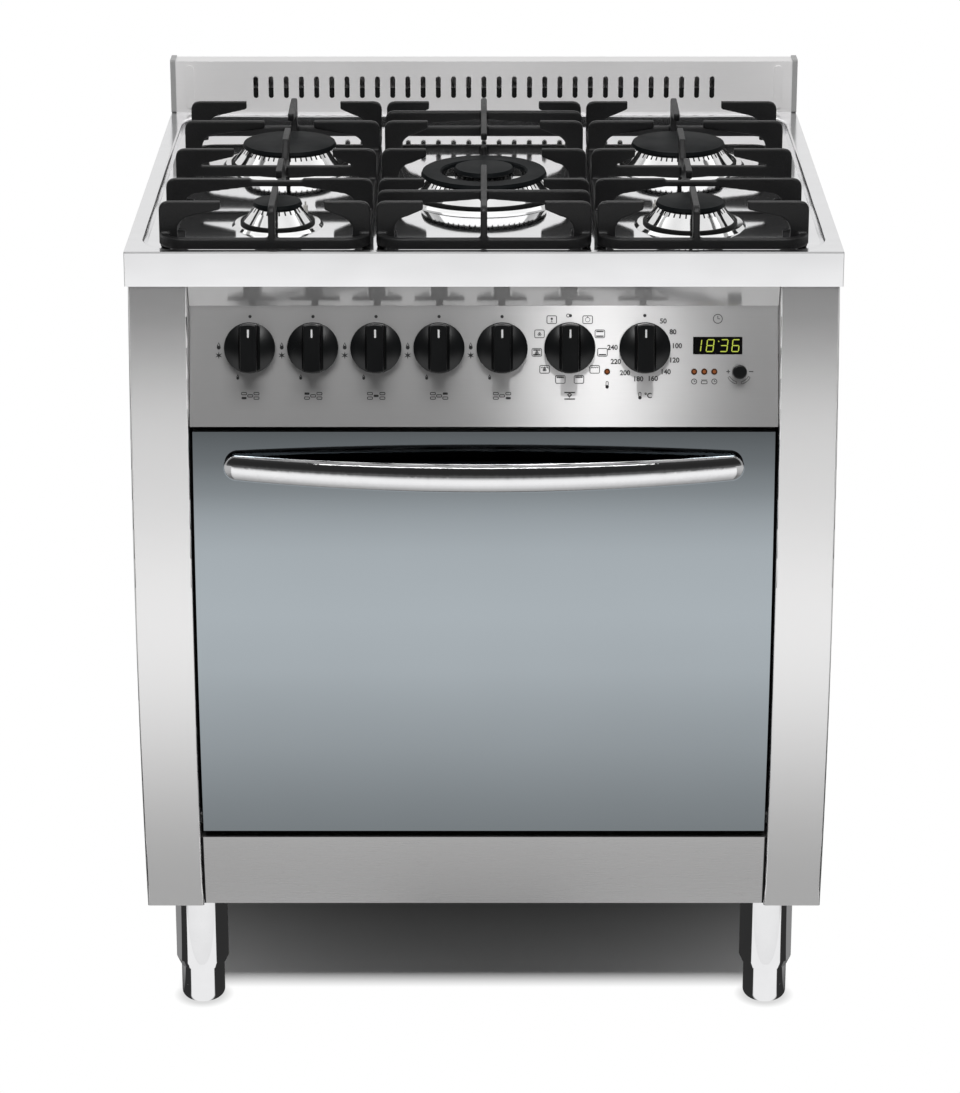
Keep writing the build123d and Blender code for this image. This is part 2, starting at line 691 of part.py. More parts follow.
def burner_cup(name):
    """Cup under a burner: bright bezel on the hob floor, mixing bowl and jet boss below."""
    x, y = BURNER_PLACES[name]
    cap = CAP_RADII[name]
    bowl = cap + CROWN_FLARE - CROWN_WALL
    bezel = cap + BEZEL_REACH
    top = HOB_FLOOR + BEZEL_THICKNESS
    low = HOB_FLOOR - CUP_DEPTH
    profile = [
        (0, CUP_BOTTOM),
        (CUP_BOSS_RADIUS, CUP_BOTTOM),
        (CUP_BOSS_RADIUS, low),
        (bowl, low),
        (bowl, HOB_FLOOR),
        (bezel, HOB_FLOOR),
        (bezel - BEZEL_THICKNESS, top),
        (bowl - CROWN_WALL, top),
        (bowl - CROWN_WALL, low + CROWN_WALL),
        (0, low + CROWN_WALL),
    ]
    cup = turned(profile, x, y)
    ex, ey = electrode_place(name)
    hole = ELECTRODE_RADIUS + SEAT_GAP
    return cup - Pos(ex, ey, HOB_FLOOR) * Cylinder(hole, 4 * BEZEL_THICKNESS)


def flame_ports(x, y, radius, reach, top, offset):
    """Radial cutters for a ring of flame ports just under a cap."""
    count = int(2 * math.pi * radius / PORT_PITCH)
    ports = []
    for i in range(count):
        cutter = Pos(radius, 0, top - PORT_HEIGHT / 2) * Box(reach, PORT_WIDTH, PORT_HEIGHT)
        ports.append(Pos(x, y, 0) * Rot(0, 0, (i + offset) * 360 / count) * cutter)
    return ports


def burner_crown(name):
    """Flared ring that carries the flame ports, seated on the bezel."""
    x, y = BURNER_PLACES[name]
    cap = CAP_RADII[name]
    low = HOB_FLOOR + BEZEL_THICKNESS
    foot = cap + CROWN_FLARE
    neck = cap - CROWN_WALL / 2
    profile = [
        (foot, low),
        (foot, low + CROWN_WALL / 2),
        (neck, CAP_UNDER),
        (neck - CROWN_WALL, CAP_UNDER),
        (foot - 2 * CROWN_WALL, low),
    ]
    crown = turned(profile, x, y)
    for port in flame_ports(x, y, neck, 4 * CROWN_WALL, CAP_UNDER, 0.5):
        crown = crown - port
    return crown


def burner_cap(name):
    """Enamelled lid with a slight dome, resting on the crown."""
    x, y = BURNER_PLACES[name]
    radius = CAP_RADII[name]
    shoulder = CAP_UNDER + CAP_THICKNESS
    side = Polyline(
        (0, shoulder + CAP_DOME),
        (0, CAP_UNDER),
        (radius - CAP_DOME, CAP_UNDER),
        (radius, CAP_UNDER + CAP_DOME),
        (radius - CAP_DOME, shoulder),
    )
    rim = radius - CAP_DOME
    sphere = (rim**2 + CAP_DOME**2) / (2 * CAP_DOME)
    half_way = shoulder + CAP_DOME - sphere + math.sqrt(sphere**2 - rim**2 / 4)
    dome = ThreePointArc((rim, shoulder), (rim / 2, half_way), (0, shoulder + CAP_DOME))
    return Pos(x, y, 0) * revolve(make_face(Plane.XZ * (side + dome)), Axis.Z)


def wok_burner_crown():
    """Double crown of the middle burner: outer flared ring, inner crown and two bridges."""
    x, y = BURNER_PLACES["wok"]
    low = HOB_FLOOR + BEZEL_THICKNESS
    floor = low + CROWN_WALL
    foot = WOK_RING_RADIUS + CROWN_FLARE
    neck = WOK_RING_RADIUS - CROWN_WALL / 2
    bore = WOK_RING_BORE + CROWN_WALL / 2
    inner = WOK_CENTRE_RADIUS - CROWN_WALL / 2
    inner_top = CAP_UNDER + WOK_CENTRE_RISE
    profile = [
        (0, low),
        (foot, low),
        (foot, low + CROWN_WALL / 2),
        (neck, CAP_UNDER),
        (neck - CROWN_WALL, CAP_UNDER),
        (neck - CROWN_WALL, floor),
        (bore + CROWN_WALL, floor),
        (bore + CROWN_WALL, CAP_UNDER),
        (bore, CAP_UNDER),
        (bore, floor),
        (inner, floor),
        (inner, inner_top),
        (inner - CROWN_WALL, inner_top),
        (inner - CROWN_WALL, floor),
        (0, floor),
    ]
    crown = turned(profile, x, y)
    ridge = make_face(Polyline((-WOK_BRIDGE_WIDTH / 2, floor), (WOK_BRIDGE_WIDTH / 2, floor),
                               (0, CAP_UNDER - CAP_DOME), close=True))
    bridge = extrude(Plane.YZ * ridge, bore + CROWN_WALL / 2, both=True)
    core = Cylinder(inner - CROWN_WALL / 2, 4 * CROWN_HEIGHT)
    crown = crown + Pos(x, y, 0) * (bridge - Pos(0, 0, floor) * core)
    for port in flame_ports(x, y, neck, 3 * CROWN_WALL, CAP_UNDER, 0.5):
        crown = crown - port
    for port in flame_ports(x, y, inner, 3 * CROWN_WALL, inner_top, 0):
        crown = crown - port
    return crown


def wok_burner_caps():
    """Ring lid and round centre lid of the middle burner."""
    x, y = BURNER_PLACES["wok"]
    top = CAP_UNDER + CAP_THICKNESS
    ring = turned(
        [
            (WOK_RING_BORE, CAP_UNDER),
            (WOK_RING_RADIUS - CAP_DOME, CAP_UNDER),
            (WOK_RING_RADIUS, CAP_UNDER + CAP_DOME),
            (WOK_RING_RADIUS - CAP_DOME, top),
            (WOK_RING_BORE + CAP_DOME, top),
            (WOK_RING_BORE, top - CAP_DOME),
        ],
        x,
        y,
    )
    low = CAP_UNDER + WOK_CENTRE_RISE
    lid = turned(
        [
            (0, low),
            (WOK_CENTRE_RADIUS - CAP_DOME, low),
            (WOK_CENTRE_RADIUS, low + CAP_DOME),
            (WOK_CENTRE_RADIUS - CAP_DOME, low + CAP_THICKNESS),
            (0, low + CAP_THICKNESS + CAP_DOME / 2),
        ],
        x,
        y,
    )
    return group([ring, lid])


def spark_electrode(name):
    """Ceramic rod with a thin metal tip beside a crown."""
    x, y = electrode_place(name)
    low = HOB_FLOOR - ELECTRODE_DROP
    top = HOB_FLOOR + ELECTRODE_RISE
    rod = tube_between((x, y, low), (x, y, top), ELECTRODE_RADIUS)
    return rod + tube_between((x, y, top), (x, y, top + SPARK_TIP_LENGTH), SPARK_TIP_RADIUS)


# Pan supports

def finger_outline(start, tip):
    """Side view of a finger from the ring at start to its tip: rounded heel, hollow underside."""
    way = 1 if tip > start else -1
    bend = FINGER_CORNER * (1 - math.sqrt(0.5))
    shoulder_z = FINGER_TOP - SHOULDER_DEPTH
    foot_z = RING_TOP_Z
    reach = abs(tip - start)
    web = start + way * min(FINGER_WEB, FINGER_WEB_SHARE * reach)
    shoulder = start + way * min(FINGER_SHOULDER, FINGER_SHOULDER_SHARE * reach)
    lean_x = web + FINGER_LEAN_ALONG * (shoulder - web)
    lean_z = foot_z + FINGER_LEAN_UP * (shoulder_z - foot_z)
    return make_face(
        [
            Line((start, RING_BOTTOM_Z), (start, FINGER_TOP - FINGER_CORNER)),
            ThreePointArc(
                (start, FINGER_TOP - FINGER_CORNER),
                (start + way * bend, FINGER_TOP - bend),
                (start + way * FINGER_CORNER, FINGER_TOP),
            ),
            Line((start + way * FINGER_CORNER, FINGER_TOP), (tip, FINGER_TOP)),
            Line((tip, FINGER_TOP), (tip, FINGER_TOP - FINGER_TIP_HEIGHT)),
            Line((tip, FINGER_TOP - FINGER_TIP_HEIGHT), (shoulder, shoulder_z)),
            ThreePointArc((shoulder, shoulder_z), (lean_x, lean_z), (web, foot_z)),
            Line((web, foot_z), (web, RING_BOTTOM_Z)),
            Line((web, RING_BOTTOM_Z), (start, RING_BOTTOM_Z)),
        ]
    )


def cross_finger(start, tip, y):
    """Finger that reaches across, along X."""
    plate = extrude(Plane.XZ * finger_outline(start, tip), FINGER_THICKNESS / 2, both=True)
    return Pos(0, y, 0) * plate


def axial_finger(x, start, tip):
    """Finger that reaches front to back, along Y."""
    plate = extrude(Plane.YZ * finger_outline(start, tip), FINGER_THICKNESS / 2, both=True)
    return Pos(x, 0, 0) * plate


def mid_finger(x, way):
    """Finger that rises from the low middle bar toward a burner."""
    low = WORKTOP_TOP + MID_BAR_TOP - MID_BAR_HEIGHT
    tip = BURNER_SPREAD - AXIAL_TIP
    outline = [
        (0, low),
        (0, WORKTOP_TOP + MID_BAR_TOP),
        (MID_RISE_START, WORKTOP_TOP + MID_BAR_TOP),
        (MID_RISE_END, FINGER_TOP),
        (tip, FINGER_TOP),
        (tip, FINGER_TOP - FINGER_TIP_HEIGHT),
        (MID_RISE_END, low + MID_BAR_HEIGHT / 2),
        (MID_RISE_START, low),
    ]
    face = make_face(Polyline(*[(HOB_CENTRE_Y + way * y, z) for y, z in outline], close=True))
    return Pos(x, 0, 0) * extrude(Plane.YZ * face, FINGER_THICKNESS / 2, both=True)


def support_ring(x0, x1):
    """Low rounded ring of a pan support, on four round pads."""
    width = x1 - x0
    length = 2 * SUPPORT_HALF_LENGTH
    outer = RectangleRounded(width, length, SUPPORT_CORNER)
    inner = RectangleRounded(width - 2 * RING_BAR, length - 2 * RING_BAR, SUPPORT_CORNER - RING_BAR)
    middle = ((x0 + x1) / 2, HOB_CENTRE_Y)
    ring = Pos(*middle, RING_BOTTOM_Z) * extrude(outer - inner, RING_TOP_Z - RING_BOTTOM_Z)
    spread_x = width / 2 - FOOT_PAD_RADIUS
    spread_y = SUPPORT_HALF_LENGTH - SUPPORT_CORNER - FOOT_PAD_RADIUS
    overlap = RING_BAR / 4
    pad = Cylinder(FOOT_PAD_RADIUS, FOOT_PAD_HEIGHT + overlap)
    for sx in (-1, 1):
        for sy in (-1, 1):
            place = Pos(middle[0] + sx * spread_x, middle[1] + sy * spread_y,
                        HOB_FLOOR + (FOOT_PAD_HEIGHT + overlap) / 2)
            ring = ring + place * pad
    return ring


def side_support(side):
    """Pan support over a front and a rear burner."""
    near = SUPPORT_CENTRE_HALF + SUPPORT_GAP
    x0, x1 = sorted((side * near, side * SUPPORT_OUTER_X))
    x = side * BURNER_X
    support = support_ring(x0, x1)
    rows = {
        END_ROW: WIDE_TIP,
        BURNER_SPREAD: NARROW_TIP,
        0.0: WIDE_TIP,
        -BURNER_SPREAD: NARROW_TIP,
        -END_ROW: WIDE_TIP,
    }
    for row, tip in rows.items():
        support = support + cross_finger(x0, x - tip, HOB_CENTRE_Y + row)
        support = support + cross_finger(x1, x + tip, HOB_CENTRE_Y + row)
    bar_top = WORKTOP_TOP + MID_BAR_TOP
    half = FINGER_THICKNESS / 2
    support = support + block(
        x0 + FINGER_WEB / 2,
        x1 - FINGER_WEB / 2,
        HOB_CENTRE_Y - half,
        HOB_CENTRE_Y + half,
        bar_top - MID_BAR_HEIGHT,
        bar_top,
    )
    tie_y = HOB_CENTRE_Y - BURNER_SPREAD
    support = support + block(
        x - NARROW_TIP - FINGER_TIP_HEIGHT,
        x + NARROW_TIP + FINGER_TIP_HEIGHT,
        tie_y - half,
        tie_y + half,
        FINGER_TOP - FINGER_TIP_HEIGHT,
        FINGER_TOP - TIE_DROP,
    )
    for way in (-1, 1):
        end = HOB_CENTRE_Y + way * SUPPORT_HALF_LENGTH
        tip = HOB_CENTRE_Y + way * (BURNER_SPREAD + AXIAL_TIP)
        support = support + axial_finger(x, end, tip) + mid_finger(x, way)
    return support


def centre_support():
    """Pan support over the wok burner, with two full cross bars."""
    half = SUPPORT_CENTRE_HALF
    support = support_ring(-half, half)
    for row in (END_ROW, BURNER_SPREAD, 0.0, -BURNER_SPREAD, -END_ROW):
        support = support + cross_finger(-half, -CENTRE_TIP, HOB_CENTRE_Y + row)
        support = support + cross_finger(half, CENTRE_TIP, HOB_CENTRE_Y + row)
    for row in (CROSS_ROW, -CROSS_ROW):
        support = support + cross_finger(-half, FINGER_THICKNESS, HOB_CENTRE_Y + row)
        support = support + cross_finger(half, -FINGER_THICKNESS, HOB_CENTRE_Y + row)
    for way in (-1, 1):
        end = HOB_CENTRE_Y + way * SUPPORT_HALF_LENGTH
        support = support + axial_finger(0, end, HOB_CENTRE_Y + way * CENTRE_AXIAL_TIP)
    return support


# Control panel

def control_panel():
    """Folded front panel: forward strip, sloping face and lips, with its holes."""
    half = INNER_HALF - SIDE_GAP
    top_y = FRONT_Y + PANEL_TOP_SETBACK
    bottom_y = FRONT_Y + PANEL_BOTTOM_SETBACK
    line = [
        (bottom_y + PANEL_RETURN, PANEL_BOTTOM),
        (bottom_y, PANEL_BOTTOM),
        (FRONT_Y + PANEL_FOLD_SETBACK, PANEL_FOLD),
        (top_y, WORKTOP_UNDER),
        (top_y + 2 * PANEL_RETURN, WORKTOP_UNDER),
    ]
    panel = folded_sheet(list(reversed(line)), SHEET, half)
    hole = SPINDLE_RADIUS + SPINDLE_HOLE_ROOM
    for x in [*GAS_KNOB_X.values(), FUNCTION_KNOB_X, THERMOSTAT_KNOB_X]:
        panel = panel - panel_cylinder(x, KNOB_DOWN, hole, -4 * SHEET, SHEET)
    small = SMALL_SPINDLE_RADIUS + SEAT_GAP
    panel = panel - panel_cylinder(SMALL_KNOB_X, LENS_DOWN, small, -4 * SHEET, SHEET)
    for x in lens_places():
        panel = panel - panel_cylinder(x, LENS_DOWN, LENS_RADIUS + SEAT_GAP, -4 * SHEET, SHEET)
    window = Box(DISPLAY_WIDTH + 2 * SEAT_GAP, DISPLAY_HEIGHT + 2 * SEAT_GAP, 4 * SHEET)
    return panel - panel_plane(PROGRAMMER_X, DISPLAY_DOWN) * window


def lens_places():
    """X of the oven lens and the three programmer lenses."""
    return [OVEN_LENS_X] + [LENS_FIRST_X + i * LENS_PITCH for i in range(LENS_COUNT)]


def knob(x):
    """Domed control knob with a tall grip across it and its own spindle."""
    seat = KNOB_GAP
    dome = KNOB_DISC_HEIGHT - KNOB_RIM_HEIGHT
    dome_radius = (KNOB_RADIUS**2 + dome**2) / (2 * dome)
    disc = Pos(0, 0, seat + KNOB_DISC_HEIGHT / 2) * Cylinder(KNOB_RADIUS, KNOB_DISC_HEIGHT)
    disc = disc & Pos(0, 0, seat + KNOB_DISC_HEIGHT - dome_radius) * Sphere(dome_radius)
    grip = Pos(0, 0, seat + KNOB_GRIP_HEIGHT / 2) * Box(KNOB_GRIP_WIDTH, 3 * KNOB_RADIUS, KNOB_GRIP_HEIGHT)
    grip = grip & Pos(0, 0, seat + KNOB_GRIP_HEIGHT / 2) * Cylinder(KNOB_GRIP_RADIUS, KNOB_GRIP_HEIGHT)
    grip = fillet(grip.faces().sort_by(Axis.Z)[-1].edges(), KNOB_EDGE)
    groove_x = (KNOB_GRIP_WIDTH + KNOB_GROOVE_WIDTH) / 2
    groove = Box(KNOB_GROOVE_WIDTH, 3 * KNOB_RADIUS, 2 * KNOB_GROOVE_DEPTH)
    for side in (-1, 1):
        disc = disc - Pos(side * groove_x, 0, seat + KNOB_DISC_HEIGHT) * groove
    reach = SPINDLE_REACH + seat
    spindle = Pos(0, 0, seat - reach / 2) * Cylinder(SPINDLE_RADIUS, reach)
    return panel_plane(x, KNOB_DOWN) * (disc + grip + spindle)


def switch_knob(x):
    """Control knob whose spindle is as long as an oven switch needs."""
    cut = panel_cylinder(x, KNOB_DOWN, 2 * SPINDLE_RADIUS, -2 * SPINDLE_REACH, -SWITCH_REACH)
    return knob(x) - cut


def knob_programmer():
    """Small two-way knob of the programmer, with its spindle."""
    plane = panel_plane(SMALL_KNOB_X, LENS_DOWN)
    body = Pos(0, 0, SMALL_KNOB_GAP + SMALL_KNOB_HEIGHT / 2) * Cylinder(SMALL_KNOB_RADIUS, SMALL_KNOB_HEIGHT)
    body = fillet(body.edges().sort_by(Axis.Z)[-1], KNOB_EDGE)
    reach = SMALL_SPINDLE_REACH + SMALL_KNOB_GAP
    spindle = Pos(0, 0, SMALL_KNOB_GAP - reach / 2) * Cylinder(SMALL_SPINDLE_RADIUS, reach)
    return plane * (body + spindle)


def indicator_lenses():
    """Amber lenses set in the panel, their backs level with its inside."""
    lenses = []
    for x in lens_places():
        lens = Pos(0, 0, (LENS_PROUD - SHEET) / 2) * Cylinder(LENS_RADIUS, SHEET + LENS_PROUD)
        lens = fillet(lens.edges().sort_by(Axis.Z)[-1], LENS_PROUD / 2)
        lenses.append(panel_plane(x, LENS_DOWN) * lens)
    return group(lenses)


def programmer_module():
    """Clock housing behind the panel, its window level with the panel face."""
    plane = panel_plane(PROGRAMMER_X, PROGRAMMER_TOP + PROGRAMMER_LENGTH / 2)
    deep = -SHEET - PROGRAMMER_DEPTH / 2
    housing = plane * Pos(0, 0, deep) * Box(PROGRAMMER_WIDTH, PROGRAMMER_LENGTH, PROGRAMMER_DEPTH)
    window = Pos(0, 0, -SHEET) * Box(DISPLAY_WIDTH, DISPLAY_HEIGHT, 2 * SHEET)
    housing = housing + panel_plane(PROGRAMMER_X, DISPLAY_DOWN) * window
    bore = SMALL_SPINDLE_RADIUS + RUNNING_FIT
    deepest = -SMALL_SPINDLE_REACH - 2 * SEAT_GAP
    return housing - panel_cylinder(SMALL_KNOB_X, LENS_DOWN, bore, deepest, SHEET)


def oven_switch(x):
    """Rotary switch body behind the panel, bored for its knob's spindle."""
    deep = -SHEET - SWITCH_DEPTH / 2
    body = panel_plane(x, KNOB_DOWN) * Pos(0, 0, deep) * Box(SWITCH_SIZE, SWITCH_SIZE, SWITCH_DEPTH)
    bore = SPINDLE_RADIUS + RUNNING_FIT
    return body - panel_cylinder(x, KNOB_DOWN, bore, -SWITCH_REACH - 2 * SEAT_GAP, SHEET)


# Gas train

def manifold_axis():
    """Y and Z of the gas rail behind the taps."""
    plane = panel_plane(0, KNOB_DOWN)
    point = plane.origin - plane.z_dir * MANIFOLD_DEEP
    return point.Y, point.Z


def inlet_point():
    """Where the gas inlet ends behind the rear panel."""
    z = manifold_axis()[1]
    return BODY_HALF - INLET_SIDE_GAP, REAR_PANEL_Y + INLET_THREAD_LENGTH, z


def gas_manifold():
    """Gas rail along the taps, bent back along the right side to a threaded inlet."""
    y, z = manifold_axis()
    end = inlet_point()
    first_x = GAS_KNOB_FIRST_X - MANIFOLD_OVERRUN
    thread_start = end[1] - INLET_THREAD_LENGTH
    path = FilletPolyline((first_x, y, z), (end[0], y, z), (end[0], thread_start, z), radius=INLET_BEND)
    start = Plane(origin=(first_x, y, z), z_dir=(1, 0, 0))
    rail = sweep(start * (Circle(MANIFOLD_RADIUS) - Circle(MANIFOLD_BORE)), path=path)
    thread_plane = Plane(origin=(end[0], thread_start, z), z_dir=(0, 1, 0))
    thread = Circle(INLET_THREAD_RADIUS) - Circle(MANIFOLD_BORE)
    stop = tube_between((first_x, y, z), (first_x + SHEET, y, z), MANIFOLD_RADIUS)
    return rail + stop + extrude(thread_plane * thread, INLET_THREAD_LENGTH)


def gas_tap(x):
    """Tap body saddled on the gas rail, bored for the spindle, with an outlet stub on top."""
    plane = panel_plane(x, KNOB_DOWN)
    body = panel_cylinder(x, KNOB_DOWN, TAP_RADIUS, -MANIFOLD_DEEP, -TAP_FACE)
    outlet = Pos(0, OUTLET_RISE / 2, -OUTLET_DEPTH) * Rot(90, 0, 0) * Cylinder(OUTLET_RADIUS, OUTLET_RISE)
    outlet = plane * outlet
    bore = SPINDLE_RADIUS + RUNNING_FIT
    deepest = -SPINDLE_REACH - PLUNGER_LENGTH - PLUNGER_TRAVEL - 2 * SEAT_GAP
    body = body + outlet - panel_cylinder(x, KNOB_DOWN, bore, deepest, 0)
    y, z = manifold_axis()
    return body - tube_between((x - 2 * TAP_RADIUS, y, z), (x + 2 * TAP_RADIUS, y, z), MANIFOLD_RADIUS)


def tap_plunger(x):
    """Valve plunger that the knob's spindle pushes."""
    near = -SPINDLE_REACH - SEAT_GAP
    return panel_cylinder(x, KNOB_DOWN, SPINDLE_RADIUS, near - PLUNGER_LENGTH, near)


def gas_pipe(name):
    """Pipe from a tap's outlet up, across and up into its burner's cup."""
    plane = panel_plane(GAS_KNOB_X[name], KNOB_DOWN)
    start = plane.origin + plane.y_dir * OUTLET_RISE - plane.z_dir * OUTLET_DEPTH
    level = CUP_BOTTOM - PIPE_LEVEL_DROP
    climb = plane.y_dir * ((level - start.Z) / plane.y_dir.Z)
    x, y = BURNER_PLACES[name]
    path = FilletPolyline(start, start + climb, (x, y, level), (x, y, CUP_BOTTOM), radius=PIPE_BEND)
    return sweep(Plane(origin=start, z_dir=plane.y_dir) * Circle(PIPE_RADIUS), path=path)


# Oven

def oven_cavity():
    """Enamelled oven box with a face plate round its mouth."""
    half = CAVITY_WIDTH / 2
    box = block(
        -half - SHEET,
        half + SHEET,
        OVEN_FACE_Y,
        CAVITY_BACK_Y + SHEET,
        CAVITY_FLOOR - SHEET,
        CAVITY_TOP + SHEET,
    )
    plate_half = INNER_HALF - SIDE_GAP
    plate_low = PLINTH_TOP + FACE_TOP_GAP
    plate_top = PANEL_BOTTOM - FACE_TOP_GAP
    plate = block(-plate_half, plate_half, OVEN_FACE_Y, OVEN_FACE_Y + SHEET, plate_low, plate_top)
    mouth = block(-half, half, OVEN_FACE_Y - SHEET, CAVITY_BACK_Y, CAVITY_FLOOR, CAVITY_TOP)
    shaft = tube_between(
        (0, CAVITY_BACK_Y - SHEET, CAVITY_MID_Z),
        (0, CAVITY_BACK_Y + 2 * SHEET, CAVITY_MID_Z),
        FAN_SHAFT_RADIUS + SPINDLE_HOLE_ROOM,
    )
    lamp = tube_between(
        (LAMP_X, CAVITY_BACK_Y - SHEET, lamp_height()),
        (LAMP_X, CAVITY_BACK_Y + 2 * SHEET, lamp_height()),
        LAMP_HOLDER_RADIUS + SEAT_GAP,
    )
    return box + plate - mouth - shaft - lamp


def lamp_height():
    """Height of the oven lamp's axis."""
    return CAVITY_TOP - LAMP_DROP


def oven_insulation():
    """Mineral-wool jacket round the oven box, with room for the motor and the lamp."""
    inner = CAVITY_WIDTH / 2 + SHEET
    outer = inner + INSULATION
    front = OVEN_FACE_Y + SHEET
    low = CAVITY_FLOOR - SHEET
    top = CAVITY_TOP + SHEET
    back = CAVITY_BACK_Y + SHEET
    jacket = block(-outer, outer, front, back + INSULATION, low - INSULATION, top + INSULATION)
    jacket = jacket - block(-inner, inner, front - SHEET, back, low, top)
    motor = tube_between(
        (0, back - SHEET, CAVITY_MID_Z),
        (0, back + 2 * INSULATION, CAVITY_MID_Z),
        MOTOR_RADIUS + SEAT_GAP,
    )
    lamp = tube_between(
        (LAMP_X, back - SHEET, lamp_height()),
        (LAMP_X, back + 2 * INSULATION, lamp_height()),
        LAMP_HOLDER_RADIUS + SEAT_GAP,
    )
    return jacket - motor - lamp


def door_seal():
    """Gasket ring on the oven's face plate."""
    width = CAVITY_WIDTH + 2 * SEAL_MARGIN
    height = CAVITY_HEIGHT + 2 * SEAL_MARGIN
    outer = RectangleRounded(width + 2 * SEAL_WIDTH, height + 2 * SEAL_WIDTH, SEAL_CORNER + SEAL_WIDTH)
    ring = outer - RectangleRounded(width, height, SEAL_CORNER)
    thickness = OVEN_FACE_Y - DOOR_BACK_Y - SEAL_GAP
    return Pos(0, OVEN_FACE_Y, CAVITY_MID_Z) * extrude(Plane.XZ * ring, thickness)


def grill_element():
    """Zigzag heating rod under the oven's roof, its ends meeting the rear wall."""
    z = CAVITY_TOP - GRILL_DROP
    front = OVEN_FACE_Y + GRILL_SETBACK
    back = CAVITY_BACK_Y - GRILL_SETBACK
    step = GRILL_WIDTH / (2 * GRILL_LOOPS - 1)
    points = [(-GRILL_WIDTH / 2, CAVITY_BACK_Y, z)]
    for i in range(2 * GRILL_LOOPS):
        x = -GRILL_WIDTH / 2 + i * step
        near = i % 2 == 0
        if i > 0:
            points.append((x, front if not near else back, z))
        if i < 2 * GRILL_LOOPS - 1:
            points.append((x, front if near else back, z))
    points.append((GRILL_WIDTH / 2, CAVITY_BACK_Y, z))
    path = FilletPolyline(*points, radius=GRILL_BEND_SHARE * step)
    return sweep(Plane(origin=points[0], z_dir=(0, -1, 0)) * Circle(ELEMENT_RADIUS), path=path)


def ring_element():
    """Open round heating rod about the fan, with a leg to the rear wall at each end."""
    y = fan_middle()
    half_gap = RING_ELEMENT_GAP / 2
    rise = math.sqrt(RING_ELEMENT_RADIUS**2 - half_gap**2)
    start = Plane(
        origin=(half_gap, y, CAVITY_MID_Z + rise), x_dir=(half_gap, 0, rise), z_dir=(rise, 0, -half_gap)
    )
    turn = 360 - 2 * math.degrees(math.atan2(half_gap, rise))
    ring = revolve(start * Circle(ELEMENT_RADIUS), Axis((0, y, CAVITY_MID_Z), (0, 1, 0)), turn)
    leg_x = half_gap + ELEMENT_RADIUS
    leg_z = CAVITY_MID_Z + math.sqrt(RING_ELEMENT_RADIUS**2 - leg_x**2)
    for side in (-1, 1):
        x = side * leg_x
        ring = ring + tube_between((x, y, leg_z), (x, CAVITY_BACK_Y, leg_z), RING_LEG_SHARE * ELEMENT_RADIUS)
    return ring


def fan_middle():
    """Y of the middle of the fan's blades."""
    return CAVITY_BACK_Y - FAN_GAP - FAN_BLADE_WIDTH / 2


def fan_blade():
    """Radial fan: back plate, hub and straight blades."""
    y = fan_middle()
    back = y + FAN_BLADE_WIDTH / 2
    front = y - FAN_BLADE_WIDTH / 2
    plate = tube_between((0, back - FAN_PLATE, CAVITY_MID_Z), (0, back, CAVITY_MID_Z), FAN_RADIUS)
    hub = tube_between((0, front, CAVITY_MID_Z), (0, back, CAVITY_MID_Z), FAN_HUB_RADIUS)
    wheel = plate + hub
    inner = FAN_RADIUS / 2
    for i in range(FAN_BLADES):
        blade = Pos((inner + FAN_RADIUS) / 2, 0, 0) * Box(FAN_RADIUS - inner, FAN_BLADE_WIDTH, FAN_PLATE)
        wheel = wheel + Pos(0, y, CAVITY_MID_Z) * Rot(0, i * 360 / FAN_BLADES, 0) * blade
    bore = FAN_SHAFT_RADIUS + RUNNING_FIT
    return wheel - tube_between((0, front - SHEET, CAVITY_MID_Z), (0, back + SHEET, CAVITY_MID_Z), bore)


def fan_cover():
    """Pressed cover in front of the fan with a rosette of slots."""
    half = FAN_COVER_WIDTH / 2
    tall = FAN_COVER_HEIGHT / 2
    front = CAVITY_BACK_Y - FAN_COVER_DEPTH
    cover = block(-half, half, front, CAVITY_BACK_Y, CAVITY_MID_Z - tall, CAVITY_MID_Z + tall)
    hollow = block(
        -half + SHEET,
        half - SHEET,
        front + SHEET,
        CAVITY_BACK_Y + SHEET,
        CAVITY_MID_Z - tall + SHEET,
        CAVITY_MID_Z + tall - SHEET,
    )
    cover = cover - hollow
    length = COVER_SLOT_OUTER - COVER_SLOT_INNER
    for i in range(COVER_SLOTS):
        slot = Pos(COVER_SLOT_INNER + length / 2, 0, 0) * Box(length, 4 * SHEET, COVER_SLOT_WIDTH)
        cover = cover - Pos(0, front, CAVITY_MID_Z) * Rot(0, i * 360 / COVER_SLOTS, 0) * slot
    return cover


def fan_motor():
    """Motor behind the oven box, its shaft through the rear wall."""
    back = CAVITY_BACK_Y + SHEET
    body = tube_between((0, back, CAVITY_MID_Z), (0, back + MOTOR_LENGTH, CAVITY_MID_Z), MOTOR_RADIUS)
    tip = fan_middle() - FAN_BLADE_WIDTH / 2
    return body + tube_between((0, tip, CAVITY_MID_Z), (0, back, CAVITY_MID_Z), FAN_SHAFT_RADIUS)


def oven_lamp():
    """Round lamp glass on the rear wall with its holder behind."""
    z = lamp_height()
    glass = tube_between((LAMP_X, CAVITY_BACK_Y - LAMP_DOME, z), (LAMP_X, CAVITY_BACK_Y, z), LAMP_RADIUS)
    glass = fillet(glass.edges().sort_by(Axis.Y)[0], LAMP_DOME / 2)
    holder_end = CAVITY_BACK_Y + SHEET + INSULATION
    return glass + tube_between((LAMP_X, CAVITY_BACK_Y, z), (LAMP_X, holder_end, z), LAMP_HOLDER_RADIUS)


def ladder_span():
    """Front and rear Y of the ladders' uprights."""
    return OVEN_FACE_Y + LADDER_MARGIN, CAVITY_BACK_Y - FAN_COVER_DEPTH - LADDER_MARGIN


def rung_height(level):
    """Height of the lower rung of a shelf level."""
    return CAVITY_FLOOR + RUNG_FIRST + level * RUNG_PITCH


